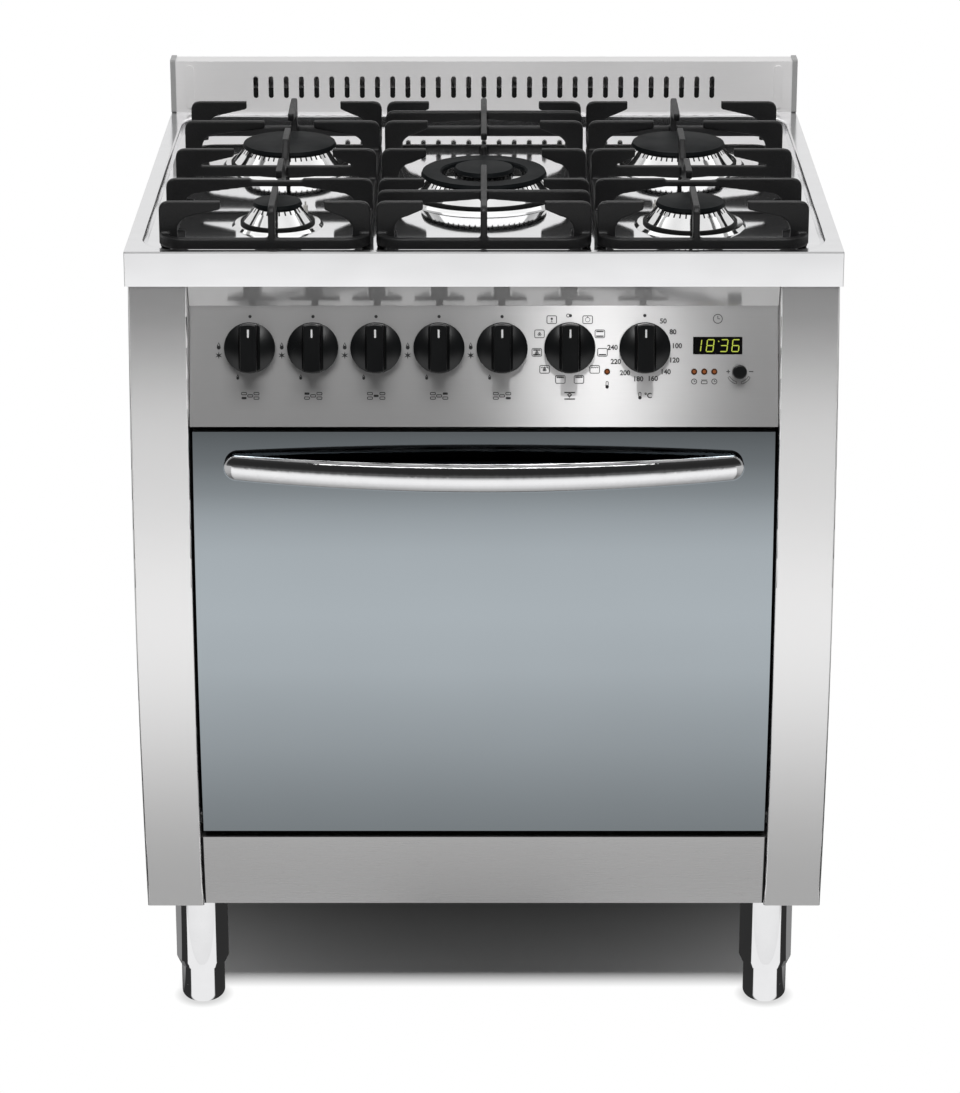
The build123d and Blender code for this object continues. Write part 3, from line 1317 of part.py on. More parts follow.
def rung_reach():
    """Distance of the rungs from the oven's middle, welded inside the uprights."""
    return CAVITY_WIDTH / 2 - LADDER_WALL_GAP - LADDER_WIRE - RUNG_WIRE / 2


def shelf_ladder(side):
    """Wire rack of paired rungs on one oven wall."""
    wall = side * CAVITY_WIDTH / 2
    x = wall - side * LADDER_WALL_GAP
    front, back = ladder_span()
    low = rung_height(0) - RUNG_SPLIT
    high = rung_height(RUNG_LEVELS - 1) + 2 * RUNG_SPLIT
    wires = []
    for y in (front, back):
        wires.append(tube_between((x, y, low), (x, y, high), LADDER_WIRE))
        for z in (low + RUNG_SPLIT / 2, high - RUNG_SPLIT / 2):
            wires.append(tube_between((x, y, z), (wall, y, z), RUNG_WIRE))
    rung_x = side * rung_reach()
    for level in range(RUNG_LEVELS):
        for z in (rung_height(level), rung_height(level) + RUNG_SPLIT):
            rung = ((rung_x, front - 2 * LADDER_WIRE, z), (rung_x, back + 2 * LADDER_WIRE, z))
            wires.append(tube_between(*rung, RUNG_WIRE))
    return joined(wires)


def wire_shelf():
    """Wire grid that slides between the rungs."""
    half = rung_reach() - SHELF_SIDE_GAP
    front, back = ladder_span()
    y0 = front - LADDER_MARGIN / 2
    y1 = back + LADDER_MARGIN / 2
    z = rung_height(SHELF_LEVEL) + RUNG_WIRE + SHELF_WIRE + SEAT_GAP
    corners = [(-half, y0, z), (half, y0, z), (half, y1, z), (-half, y1, z)]
    wires = [tube_between(corners[i], corners[(i + 1) % 4], SHELF_WIRE) for i in range(4)]
    wires.extend(Pos(*corner) * Sphere(SHELF_WIRE) for corner in corners)
    count = int(2 * half / SHELF_ROD_PITCH)
    for i in range(1, count):
        x = -half + i * 2 * half / count
        wires.append(tube_between((x, y0, z), (x, y1, z), SHELF_ROD))
    return joined(wires)


# Door

def door_frame():
    """Sheet tray behind the outer glass, with a window in its back and holes for the hinge pins."""
    inset = DOOR_INSET + GLASS
    front = FRONT_Y - FRONT_BULGE
    tray = block(-DOOR_HALF, DOOR_HALF, front, DOOR_BACK_Y, DOOR_BOTTOM, DOOR_TOP) & front_drum(inset)
    inner = DOOR_HALF - DOOR_SHEET
    tray = tray - block(
        -inner, inner, front, DOOR_BACK_Y - DOOR_SHEET, DOOR_BOTTOM + DOOR_SHEET, DOOR_TOP - DOOR_SHEET
    )
    half, low, high = window_opening()
    tray = tray - block(-half, half, DOOR_BACK_Y - 2 * DOOR_SHEET, DOOR_BACK_Y + DOOR_SHEET, low, high)
    hole = HINGE_PIN_RADIUS + PIN_HOLE_ROOM
    end = DOOR_HALF + DOOR_SHEET
    for side in (-1, 1):
        tray = tray - tube_between(
            (side * (inner - DOOR_SHEET), HINGE_Y, HINGE_Z), (side * end, HINGE_Y, HINGE_Z), hole
        )
    return tray


def window_opening():
    """Half width, bottom and top of the window in the door's back."""
    return DOOR_HALF - WINDOW_MARGIN_SIDE, DOOR_BOTTOM + WINDOW_MARGIN_END, DOOR_TOP - WINDOW_MARGIN_END


def door_outer_glass():
    """Curved front pane of the door."""
    front = FRONT_Y - FRONT_BULGE
    pane = block(-DOOR_HALF, DOOR_HALF, front, DOOR_BACK_Y, DOOR_BOTTOM, DOOR_TOP)
    return (pane & front_drum(DOOR_INSET)) - front_drum(DOOR_INSET + GLASS)


def door_inner_glass():
    """Flat pane over the window, inside the tray."""
    half, low, high = window_opening()
    lap = INNER_GLASS_LAP
    back = DOOR_BACK_Y - DOOR_SHEET
    return block(-half - lap, half + lap, back - GLASS, back, low - lap, high + lap)


def hinge_block(side):
    """Bearing block in a bottom corner of the door tray."""
    outer = side * (DOOR_HALF - DOOR_SHEET)
    bore = HINGE_PIN_RADIUS + RUNNING_FIT
    body = block(
        outer,
        outer - side * HINGE_BLOCK_WIDTH,
        HINGE_Y - bore - HINGE_BLOCK_WALL,
        DOOR_BACK_Y - DOOR_SHEET,
        DOOR_BOTTOM + DOOR_SHEET,
        HINGE_Z + HINGE_BLOCK_RISE,
    )
    far = outer - side * 2 * HINGE_BLOCK_WIDTH
    return body - tube_between((outer + side * SHEET, HINGE_Y, HINGE_Z), (far, HINGE_Y, HINGE_Z), bore)


def hinge_pin(side):
    """Flanged pivot pin on the inner wall of a column."""
    wall = side * INNER_HALF
    flange_end = wall - side * HINGE_FLANGE
    tip = side * (DOOR_HALF - DOOR_SHEET - HINGE_PIN_REACH)
    flange = tube_between((wall, HINGE_Y, HINGE_Z), (flange_end, HINGE_Y, HINGE_Z), HINGE_FLANGE_RADIUS)
    return flange + tube_between((wall, HINGE_Y, HINGE_Z), (tip, HINGE_Y, HINGE_Z), HINGE_PIN_RADIUS)


def handle_bow(x):
    """Y of the handle's middle line at x."""
    return FRONT_Y + HANDLE_END_SETBACK - HANDLE_BOW * (1 - (x / HANDLE_BAR_HALF) ** 2)


def handle_section(x):
    """Tall oval section of the handle, square to its middle line."""
    fade = (x / HANDLE_BAR_HALF) ** 2
    height = HANDLE_HEIGHT + (HANDLE_TIP_HEIGHT - HANDLE_HEIGHT) * fade
    thickness = HANDLE_THICKNESS + (HANDLE_TIP_THICKNESS - HANDLE_THICKNESS) * fade
    slope = 2 * HANDLE_BOW * x / HANDLE_BAR_HALF**2
    plane = Plane(origin=(x, handle_bow(x), HANDLE_Z), x_dir=(0, 0, 1), z_dir=(1, slope, 0))
    return plane * Ellipse(height / 2, thickness / 2)


def handle_tip(side):
    """Flattened round end of the handle, turned along its middle line."""
    radius = HANDLE_TIP_HEIGHT / 2
    flat = HANDLE_TIP_THICKNESS / HANDLE_TIP_HEIGHT
    turn = math.degrees(math.atan(2 * HANDLE_BOW / HANDLE_BAR_HALF))
    place = Pos(side * HANDLE_BAR_HALF, handle_bow(HANDLE_BAR_HALF), HANDLE_Z)
    return place * Rot(0, 0, side * turn) * scale(Sphere(radius), by=(1, flat, 1))


def door_handle():
    """Bowed bar with flattened round ends, on two short posts."""
    stations = range(-HANDLE_STATIONS, HANDLE_STATIONS + 1)
    bar = loft([handle_section(i * HANDLE_BAR_HALF / HANDLE_STATIONS) for i in stations])
    glass_y = FRONT_Y + bulge_setback(HANDLE_Z) + HANDLE_POST_RADIUS
    post_x = HANDLE_BAR_HALF - HANDLE_POST_INSET
    for side in (-1, 1):
        post_start = (side * post_x, handle_bow(post_x), HANDLE_Z)
        post = tube_between(post_start, (side * post_x, glass_y, HANDLE_Z), HANDLE_POST_RADIUS)
        bar = bar + handle_tip(side) + post
    return bar - front_drum(DOOR_INSET)


# Legs and rear connections

def leg_places():
    """Name and plan position of each leg."""
    front = FRONT_Y + LEG_FRONT_SETBACK
    rear = BACK_Y - LEG_REAR_INSET
    return {
        "front_left": (-LEG_X, front),
        "front_right": (LEG_X, front),
        "rear_left": (-LEG_X, rear),
        "rear_right": (LEG_X, rear),
    }


def leg_sleeve(x, y):
    """Fixed bright sleeve under the body, bored from below for its foot."""
    bore = FOOT_RADIUS + FOOT_FIT
    profile = [
        (0, BODY_BOTTOM),
        (SLEEVE_RADIUS, BODY_BOTTOM),
        (SLEEVE_RADIUS, SLEEVE_BOTTOM + SLEEVE_TAPER),
        (SLEEVE_RADIUS - SLEEVE_EDGE, SLEEVE_BOTTOM),
        (bore, SLEEVE_BOTTOM),
        (bore, BODY_BOTTOM - SLEEVE_FLOOR),
        (0, BODY_BOTTOM - SLEEVE_FLOOR),
    ]
    return turned(profile, x, y)


def leg_foot(x, y):
    """Adjustable foot that screws into a sleeve."""
    foot = tube_between((x, y, 0), (x, y, FOOT_TOP), FOOT_RADIUS)
    foot = fillet(foot.edges().sort_by(Axis.Z)[0], FOOT_EDGE)
    return foot - tube_between((x, y, FOOT_FLOOR), (x, y, FOOT_TOP + FOOT_FLOOR), FOOT_RADIUS - FOOT_WALL)


def terminal_block():
    """Mains terminal box on the rear panel, with its cable hole underneath."""
    half = TERMINAL_WIDTH / 2
    tall = TERMINAL_HEIGHT / 2
    box = block(
        TERMINAL_X - half,
        TERMINAL_X + half,
        REAR_PANEL_Y,
        REAR_PANEL_Y + TERMINAL_DEPTH,
        TERMINAL_Z - tall,
        TERMINAL_Z + tall,
    )
    inner = half - 2 * SHEET
    box = box - block(
        TERMINAL_X - inner,
        TERMINAL_X + inner,
        REAR_PANEL_Y - SHEET,
        REAR_PANEL_Y + TERMINAL_DEPTH - 2 * SHEET,
        TERMINAL_Z - tall + 2 * SHEET,
        TERMINAL_Z + tall - 2 * SHEET,
    )
    y = REAR_PANEL_Y + TERMINAL_DEPTH / 2
    return box - tube_between((TERMINAL_X, y, TERMINAL_Z - tall - SHEET),
                              (TERMINAL_X, y, TERMINAL_Z), CABLE_HOLE_RADIUS)


PLAIN_BURNERS = [name for name in GAS_BURNERS if name != "wok"]

nodes = {
    "side_panel_left": side_panel(-1),
    "side_panel_right": side_panel(1),
    "front_column_left": front_column(-1),
    "front_column_right": front_column(1),
    "base_plate": base_plate(),
    "rear_panel": rear_panel(),
    "plinth_panel": plinth_panel(),
    "worktop": worktop(),
    "backguard": backguard(),
    "backguard_end_caps": backguard_end_caps(),
    "burner_cups": group([burner_cup(name) for name in GAS_BURNERS]),
    "burner_crowns": group([*[burner_crown(name) for name in PLAIN_BURNERS], wok_burner_crown()]),
    "burner_caps": group([*[burner_cap(name) for name in PLAIN_BURNERS], wok_burner_caps()]),
    "spark_electrodes": group([spark_electrode(name) for name in GAS_BURNERS]),
    "pan_support_left": side_support(-1),
    "pan_support_centre": centre_support(),
    "pan_support_right": side_support(1),
    "control_panel": control_panel(),
    "knob_function": switch_knob(FUNCTION_KNOB_X),
    "knob_thermostat": switch_knob(THERMOSTAT_KNOB_X),
    "knob_programmer": knob_programmer(),
    "indicator_lenses": indicator_lenses(),
    "programmer_module": programmer_module(),
    "oven_switches": group([oven_switch(FUNCTION_KNOB_X), oven_switch(THERMOSTAT_KNOB_X)]),
    "gas_manifold": gas_manifold(),
    "gas_taps": group([gas_tap(x) for x in GAS_KNOB_X.values()]),
    "gas_pipes": group([gas_pipe(name) for name in GAS_BURNERS]),
    "oven_cavity": oven_cavity(),
    "oven_insulation": oven_insulation(),
    "door_seal": door_seal(),
    "heating_elements": group([grill_element(), ring_element()]),
    "fan_blade": fan_blade(),
    "fan_cover": fan_cover(),
    "fan_motor": fan_motor(),
    "oven_lamp": oven_lamp(),
    "shelf_ladders": group([shelf_ladder(-1), shelf_ladder(1)]),
    "wire_shelf": wire_shelf(),
    "door_frame": door_frame(),
    "door_outer_glass": door_outer_glass(),
    "door_inner_glass": door_inner_glass(),
    "door_hinge_blocks": group([hinge_block(-1), hinge_block(1)]),
    "hinge_pins": group([hinge_pin(-1), hinge_pin(1)]),
    "door_handle": door_handle(),
    "leg_sleeves": group([leg_sleeve(x, y) for x, y in leg_places().values()]),
    "terminal_block": terminal_block(),
    "rear_screws": group([rear_screw(x, z) for side in (-1, 1) for x, z in screw_places(side)]),
}
for burner, knob_x in GAS_KNOB_X.items():
    nodes[f"knob_{burner}"] = knob(knob_x)
for burner, knob_x in GAS_KNOB_X.items():
    nodes[f"tap_plunger_{burner}"] = tap_plunger(knob_x)
for leg, (leg_x, leg_y) in leg_places().items():
    nodes[f"leg_foot_{leg}"] = leg_foot(leg_x, leg_y)

for name, shape in nodes.items():
    shape.label = name
    export_step(shape, f"parts/{name}.step")
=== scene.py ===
import json
import math

import bmesh
import bpy
from mathutils import Matrix, Vector
from mathutils.bvhtree import BVHTree


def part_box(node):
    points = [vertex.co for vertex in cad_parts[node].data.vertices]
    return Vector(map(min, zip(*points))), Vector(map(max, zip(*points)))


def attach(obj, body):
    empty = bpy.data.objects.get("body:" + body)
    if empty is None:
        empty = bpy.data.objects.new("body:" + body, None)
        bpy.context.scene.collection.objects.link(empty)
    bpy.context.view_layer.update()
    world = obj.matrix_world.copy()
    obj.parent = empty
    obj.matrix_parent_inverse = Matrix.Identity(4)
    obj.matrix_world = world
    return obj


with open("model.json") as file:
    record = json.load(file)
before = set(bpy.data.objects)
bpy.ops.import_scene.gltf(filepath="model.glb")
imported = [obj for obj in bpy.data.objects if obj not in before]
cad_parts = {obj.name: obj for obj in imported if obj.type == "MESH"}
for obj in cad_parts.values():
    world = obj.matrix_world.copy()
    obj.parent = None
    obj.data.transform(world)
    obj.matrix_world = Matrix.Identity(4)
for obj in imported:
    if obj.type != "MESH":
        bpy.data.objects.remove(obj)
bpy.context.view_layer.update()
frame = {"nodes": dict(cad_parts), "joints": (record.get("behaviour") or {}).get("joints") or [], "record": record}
nodes = frame["nodes"]
joints = {joint["name"]: joint for joint in frame["joints"]}
scene = bpy.context.scene

# Camera, fitted to the corners of the worktop, panel and door in the photograph
IMAGE_HEIGHT = 1093.0
CAMERA_PLACE = (0.0, -3.6379, 1.7840)
CAMERA_PITCH = 18.73
FOCAL_PIXELS = 3609.3
SENSOR = 36.0
SHIFT_Y = -0.10
AXIS_OFFSET_PIXELS = 3.9
CLIP_END = 50.0

# Lamps: place, size and power, with the point each is aimed at
LAMP_TARGET = (0.0, -0.2, 0.5)
KEY_PLACE = (0.0, -1.55, 2.55)
KEY_SIZE = (1.8, 1.0)
KEY_POWER = 34.0
STRIP_PLACE = (0.225, -3.9, 1.55)
STRIP_TARGET = (0.126, -0.26, 0.73)
STRIP_SIZE = (0.10, 1.3)
STRIP_POWER = 1.1
BEAM_PLACE = (0.135, -1.60, 2.47)
BEAM_TARGET = (0.118, -0.28, 0.715)
BEAM_ANGLE = 6.4
BEAM_RADIUS = 0.05
BEAM_POWER = 175.0
HANDLE_LAMP_SIZE = (1.8, 0.32)
HANDLE_LAMP_POWER = 3.5
GUARD_LAMP_PLACE = (0.0, -0.9, 2.0)
GUARD_LAMP_SIZE = (2.0, 0.6)
GUARD_LAMP_POWER = 9.0

# White cards that only some nodes show
BRIGHT_BURNER_NODES = ["burner_crowns", "burner_cups"]
COLUMN_NODES = ["front_column_left", "front_column_right"]
HOB_CARD_SIZE = (2.6, 1.6)
HOB_CARD_GLOW = 0.75
CROWN_CARDS_LEVEL = 2.35
CROWN_CARDS_MIDDLE = -0.3
CROWN_CARDS_DEPTH = 2.2
CROWN_CARDS = [(-1.99, 0.42), (0.0, 3.1), (1.99, 0.42)]
CROWN_CARDS_GLOW = 0.85
FOOT_CARD_SIZE = (0.47, 0.13)
FOOT_CARD_GLOW = 0.50
EDGE_CARD_PLACE = (0.0, -2.6, 0.002)
EDGE_CARD_ABOVE = (0.0, -2.6, 1.0)
EDGE_CARD_SIZE = (3.0, 1.5)
EDGE_CARD_GLOW = 0.38
COLUMN_CARD_PLACE = (0.0, -4.3, 0.33)
COLUMN_CARD_FACING = (0.0, 0.0, 0.33)
COLUMN_CARD_SIZE = (4.4, 0.66)
COLUMN_CARD_GLOW = 0.75

# Floor: its plain colour, and as the camera sees it: under the cooker a colour painted darker toward the back, a
# painted shade that deepens the shadow, and a painted contact shadow round the front feet
FLOOR_HALF = 9.0
FLOOR_COLOUR = (0.80, 0.80, 0.80)
PAINTED_SHADOW_TONE = (0.98, 0.40)
PAINTED_SHADOW_DEPTH = (-0.155, 0.0)
SHADOW_SIDE = (0.285, 0.325)
SHADOW_FRONT = (-0.195, -0.160)
SHADOW_REAR = (0.28, 0.34)
PAINTED_CONTACT_SHADOW_REACH = (0.021, 0.032)
PAINTED_CONTACT_SHADOW_LEVEL = 0.70

# Room by height, for all rays but the camera's, and the floor that metal and glass show: a pool of light painted
# on it by distance
ROOM_STOPS = [(0.0, 0.12), (0.08, 0.05), (0.20, 0.03), (0.55, 0.03), (0.85, 0.05), (1.0, 0.5)]
ROOM_TURN = (-0.25, 0.35)
REAR_STOPS = [(0.0, 1.0), (0.55, 1.0), (0.80, 0.55), (1.0, 0.5)]
FRONT_LINE = -0.265
SIDE_LINE = 0.35
REAR_LINE = 0.335
REAR_EDGE = (0.30, 0.40)
POOL_REACH = 6.0
POOL_HALF = 0.40
POOL_WIDENS = 0.9
POOL_EDGE = (0.0, 0.06)
POOL_STOPS = [
    (0.0, 0.02), (0.012, 0.36), (0.045, 0.44), (0.085, 0.68), (0.14, 0.90), (0.20, 0.97),
    (0.31, 0.92), (0.40, 0.76), (0.50, 0.54), (0.67, 0.36), (1.0, 0.14),
]
SIDE_STOPS = [(0.0, 0.05), (0.04, 0.10), (0.14, 0.42), (0.27, 0.50)]

# Floor as the front legs show it, a painted reflection of a bright wedge with grey flanks, in metres from each
# foot
FOOT_GLOW_REACH = 0.12
FOOT_GLOW_RAY = 0.45
FOOT_GLOW_START = 0.013
FOOT_GLOW_WIDENS = 2.2
FOOT_GLOW_EDGE = 0.004
FOOT_GLOW = (0.03, 0.92)
FOOT_FLANK_TURN = 0.06
FOOT_FLANK_EDGE = (0.0, 0.004)
FOOT_FLANK_REACH = (0.02, 0.09)
FOOT_FLANK = (0.06, 0.26)
FOOT_TAPER_RAY = 0.042
FOOT_TAPER_START = 0.0135
FOOT_TAPER_REACH = 0.055

# Grain of the surfaces, in cells per metre along X, Y and Z
BRUSH_GRAIN = (25.0, 2600.0, 2600.0)
SMEAR_GRAIN = (14.0, 60.0, 60.0)
WAVE_GRAIN = (11.0, 11.0, 11.0)
HAZE_GRAIN = (60.0, 60.0, 60.0)
BROAD_GRAIN = (18.0, 18.0, 18.0)
FILM_GRAIN = (25.0, 25.0, 25.0)
MIRROR_GRAIN = (5.0, 5.0, 5.0)
LENS_GRAIN = (400.0, 400.0, 400.0)

# Strength and depth of brushing and waves, and the direction of the brushing
BRUSH_BUMP = (0.01, 0.0001)
BRUSH_ALONG = (1.0, 0.0, 0.03)
WAVE_BUMP = (0.12, 0.002)

# Heights between which the panel turns glossy at its fold, and the strip over it, whose colour is painted brighter
# as a painted highlight
FOLD_BAND = (0.7705, 0.7725)
STRIP_ROUGHNESS = 0.10
STRIP_PAINTED_BRIGHTER = 1.28

# Where the hob's sunk pan lies, in height and in depth
PAN_TOP = (0.822, 0.828)
PAN_FRONT = (-0.258, -0.250)
PAN_ROUGHNESS = 0.06

# Cast pan supports: the skin's cell in metres, and how often and how far it is smoothed
CAST_VOXEL = 0.0012
CAST_SMOOTHING = 5
CAST_SMOOTH_SHARE = 0.5

# Marks on the control panel, in millimetres; "down" runs down the slope from the fold
MILLIMETRE = 0.001
KNOB_DOWN = 41.0
LAMP_DOWN = 64.5
INK_LIFT = (-0.02, 0.08)
LINE = 0.90
FINE_LINE = 0.75
THIN_LINE = 0.5
CLOCK_LINE = 0.72
SIGN_BAR = 1.3
BOLDER = 0.20
LETTER_STEPS = 4
CORNER_STEPS = 4
LOW_SIGN_DOWN = 88.2

# Signs of the gas knobs: each place down with its size; a box is width, height and corner
GAS_KNOBS = ["front_left", "rear_left", "wok", "rear_right", "front_right"]
GAS_DOT = (10.6, 1.6)
GAS_SIGN_ASIDE = 30.7
LARGE_FLAME = (39.5, 6.8)
SPARK = (48.6, 7.6)
SMALL_FLAME_ASIDE = 12.2
SMALL_FLAME = (70.0, 5.0)
BURNER_SIGN_DOWN = 88.3
BURNER_SIGN_STEP = (6.1, 2.2)
BURNER_SIGN_BOX = (4.9, 2.3, 0.7)

# Signs of the function knob; below it, bars and an arrow by half their width and height
FUNCTIONS = [
    "ring", "top bottom", "bottom", "grill", "top",
    "grill top", "grill fan", "top bottom fan", "fan", "light",
]
FUNCTION_STEPS = 11
FUNCTION_RADIUS = 32.5
FUNCTION_BOX = (9.4, 7.6, 1.3)
OFF_DOT_DOWN = 9.6
FUNCTION_DOTS = (-1.6, 0.8)
FUNCTION_DOT_RADIUS = 1.5
LOW_SIGN_BAR = (5.2, 3.2)
LOW_SIGN_ARROW = (2.4, 1.6)
LOW_SIGN_RING = (87.2, 1.3)

# Signs of the thermostat knob, and turns in degrees clockwise from the top
TEMPERATURES = [50, 80, 100, 120, 140, 160, 180, 200, 220, 240]
TEMPERATURE_FIRST = 35.0
TEMPERATURE_STEP = 26.1
TEMPERATURE_RADIUS = 31.5
NUMBER_SIZE = 6.8
THERMOSTAT_DOT_RADIUS = 1.6
THERMOMETER_HEIGHT = 7.2
THERMOMETER_ASIDE = -4.6
DEGREES_ASIDE = 3.4
OVEN_SIGN_DOWN = 77.6

# Programmer: its lamps and signs, display window and digits
PROGRAMMER_LAMP_FIRST = 206.0
PROGRAMMER_LAMP_STEP = 9.9
PROGRAMMER_CLOCK = (12.8, 4.4)
LAMP_CLOCK = (74.2, 2.5)
LAMP_POT = (75.0, 5.6, 2.8, 0.8)
LAMP_POT_LID = (72.6, 3.0)
PLUS_ASIDE = -10.6
PLUS_HALF = 1.8
MINUS_ASIDE = 11.9
MINUS_HALF = 2.1
ARROW_RADII = (12.4, 10.2)
ARROW_TURNS = (12.0, 62.0)
ARROW_STEPS = 8
DISPLAY_MIDDLE = (229.0, 39.0)
DISPLAY_SIZE = (48.0, 17.0)
DISPLAY_CORNER = 1.2
DISPLAY_LIFT = (-0.05, 0.4)
DIGIT_SIZE = (6.6, 11.6)
DIGIT_STROKE = 1.0
DIGIT_GAP = 0.62
DIGIT_BEVEL = 0.5
DIGIT_LIFT = (0.38, 0.46)
DIGIT_SLANT = 0.12
DIGIT_DOT = (0.9, -4.2, 0.65)
DIGITS = [("1", -19.6), ("8", -7.4), ("3", 6.2), ("6", 17.6)]
SEGMENTS = {
    "a": ((0, 0), (1, 0)),
    "b": ((1, 0), (1, 1)),
    "c": ((1, 1), (1, 2)),
    "d": ((0, 2), (1, 2)),
    "e": ((0, 1), (0, 2)),
    "f": ((0, 0), (0, 1)),
    "g": ((0, 1), (1, 1)),
}
DIGIT_SEGMENTS = {"1": "bc", "3": "abcdg", "6": "acdefg", "8": "abcdefg"}

# Painted shade at the edge of each lens, a dark brown ring, and the white line on a knob's grip
LENS_EDGE_SHADE = (2.25, 1.1)
LENS_EDGE_SHADE_LIFT = (0.7, 0.88)
POINTER_REACH = (10.5, 18.6)
POINTER_WIDTH = 1.8
POINTER_CORNER = 0.6
POINTER_LIFT = (31.9, 32.12)

# The side of the handle toward the door is painted dark: painted shade
HANDLE_BACK_PAINTED_SHADE = 0.03
HANDLE_PAINTED_SHADE_TURN = (-0.05, 0.35)

# Painted shade, in metres: a dark strip for the shadow in the gap at each end of the plinth, and a dark sheet for
# the shade low behind the vent slots
SEAM_WIDTH = 0.0016
SEAM_LIFT = 0.0002
SEAM_SINK = 0.0006
SEAM_STEPS = 12
SEAM_RAY_START = -1.0
SEAM_HEIGHT = (0.1312, 0.2118)
VENT_SHADE_HALF = 0.262
VENT_SHADE_DEPTH = (0.3115, 0.3121)
VENT_SHADE_HEIGHT = (0.843, 0.8575)

# Burners: side and row of each, and the radius of its cap, in metres
BURNER_PLACES = {
    "front_left": (-1, -1),
    "rear_left": (-1, 1),
    "wok": (0, 0),
    "rear_right": (1, 1),
    "front_right": (1, -1),
}
BURNER_CAPS = {
    "front_left": 0.025,
    "rear_left": 0.050,
    "wok": 0.065,
    "rear_right": 0.050,
    "front_right": 0.035,
}
BURNER_ACROSS = 0.207
BURNER_ALONG = 0.121
CROWN_HEIGHT = 0.017
CROWN_RIM = 0.002
CROWN_FLARE = 0.010
PORT_PITCH = 0.011
PORT_WIDTH = 0.0015
PORT_HEIGHT = 0.004
PORT_LIFT = (-0.0008, 0.00015)
# Painted shade ring at the foot of each crown: reach, height, bevel, gap at the electrode in degrees, and steps
CROWN_FOOT_SHADE = (-0.0005, 0.0024)
CROWN_FOOT_SHADE_HEIGHT = 0.0028
CROWN_FOOT_SHADE_BEVEL = 0.0008
CROWN_FOOT_SHADE_GAP = 8.0
CROWN_FOOT_SHADE_STEPS = 72
ELECTRODE_TURN = 45.0

# Points closer than this are one, in metres
MERGE_REACH = 1e-7


def add_camera():
    """Camera at the photograph's viewing angle."""
    data = bpy.data.cameras.new("camera")
    data.sensor_width = SENSOR
    data.lens = FOCAL_PIXELS / IMAGE_HEIGHT * SENSOR
    data.shift_y = SHIFT_Y
    data.shift_x = -AXIS_OFFSET_PIXELS / IMAGE_HEIGHT
    data.clip_end = CLIP_END
    camera = bpy.data.objects.new("camera", data)
    camera.location = CAMERA_PLACE
    camera.rotation_euler = (math.radians(90.0 - CAMERA_PITCH), 0.0, 0.0)
    scene.collection.objects.link(camera)
    scene.camera = camera


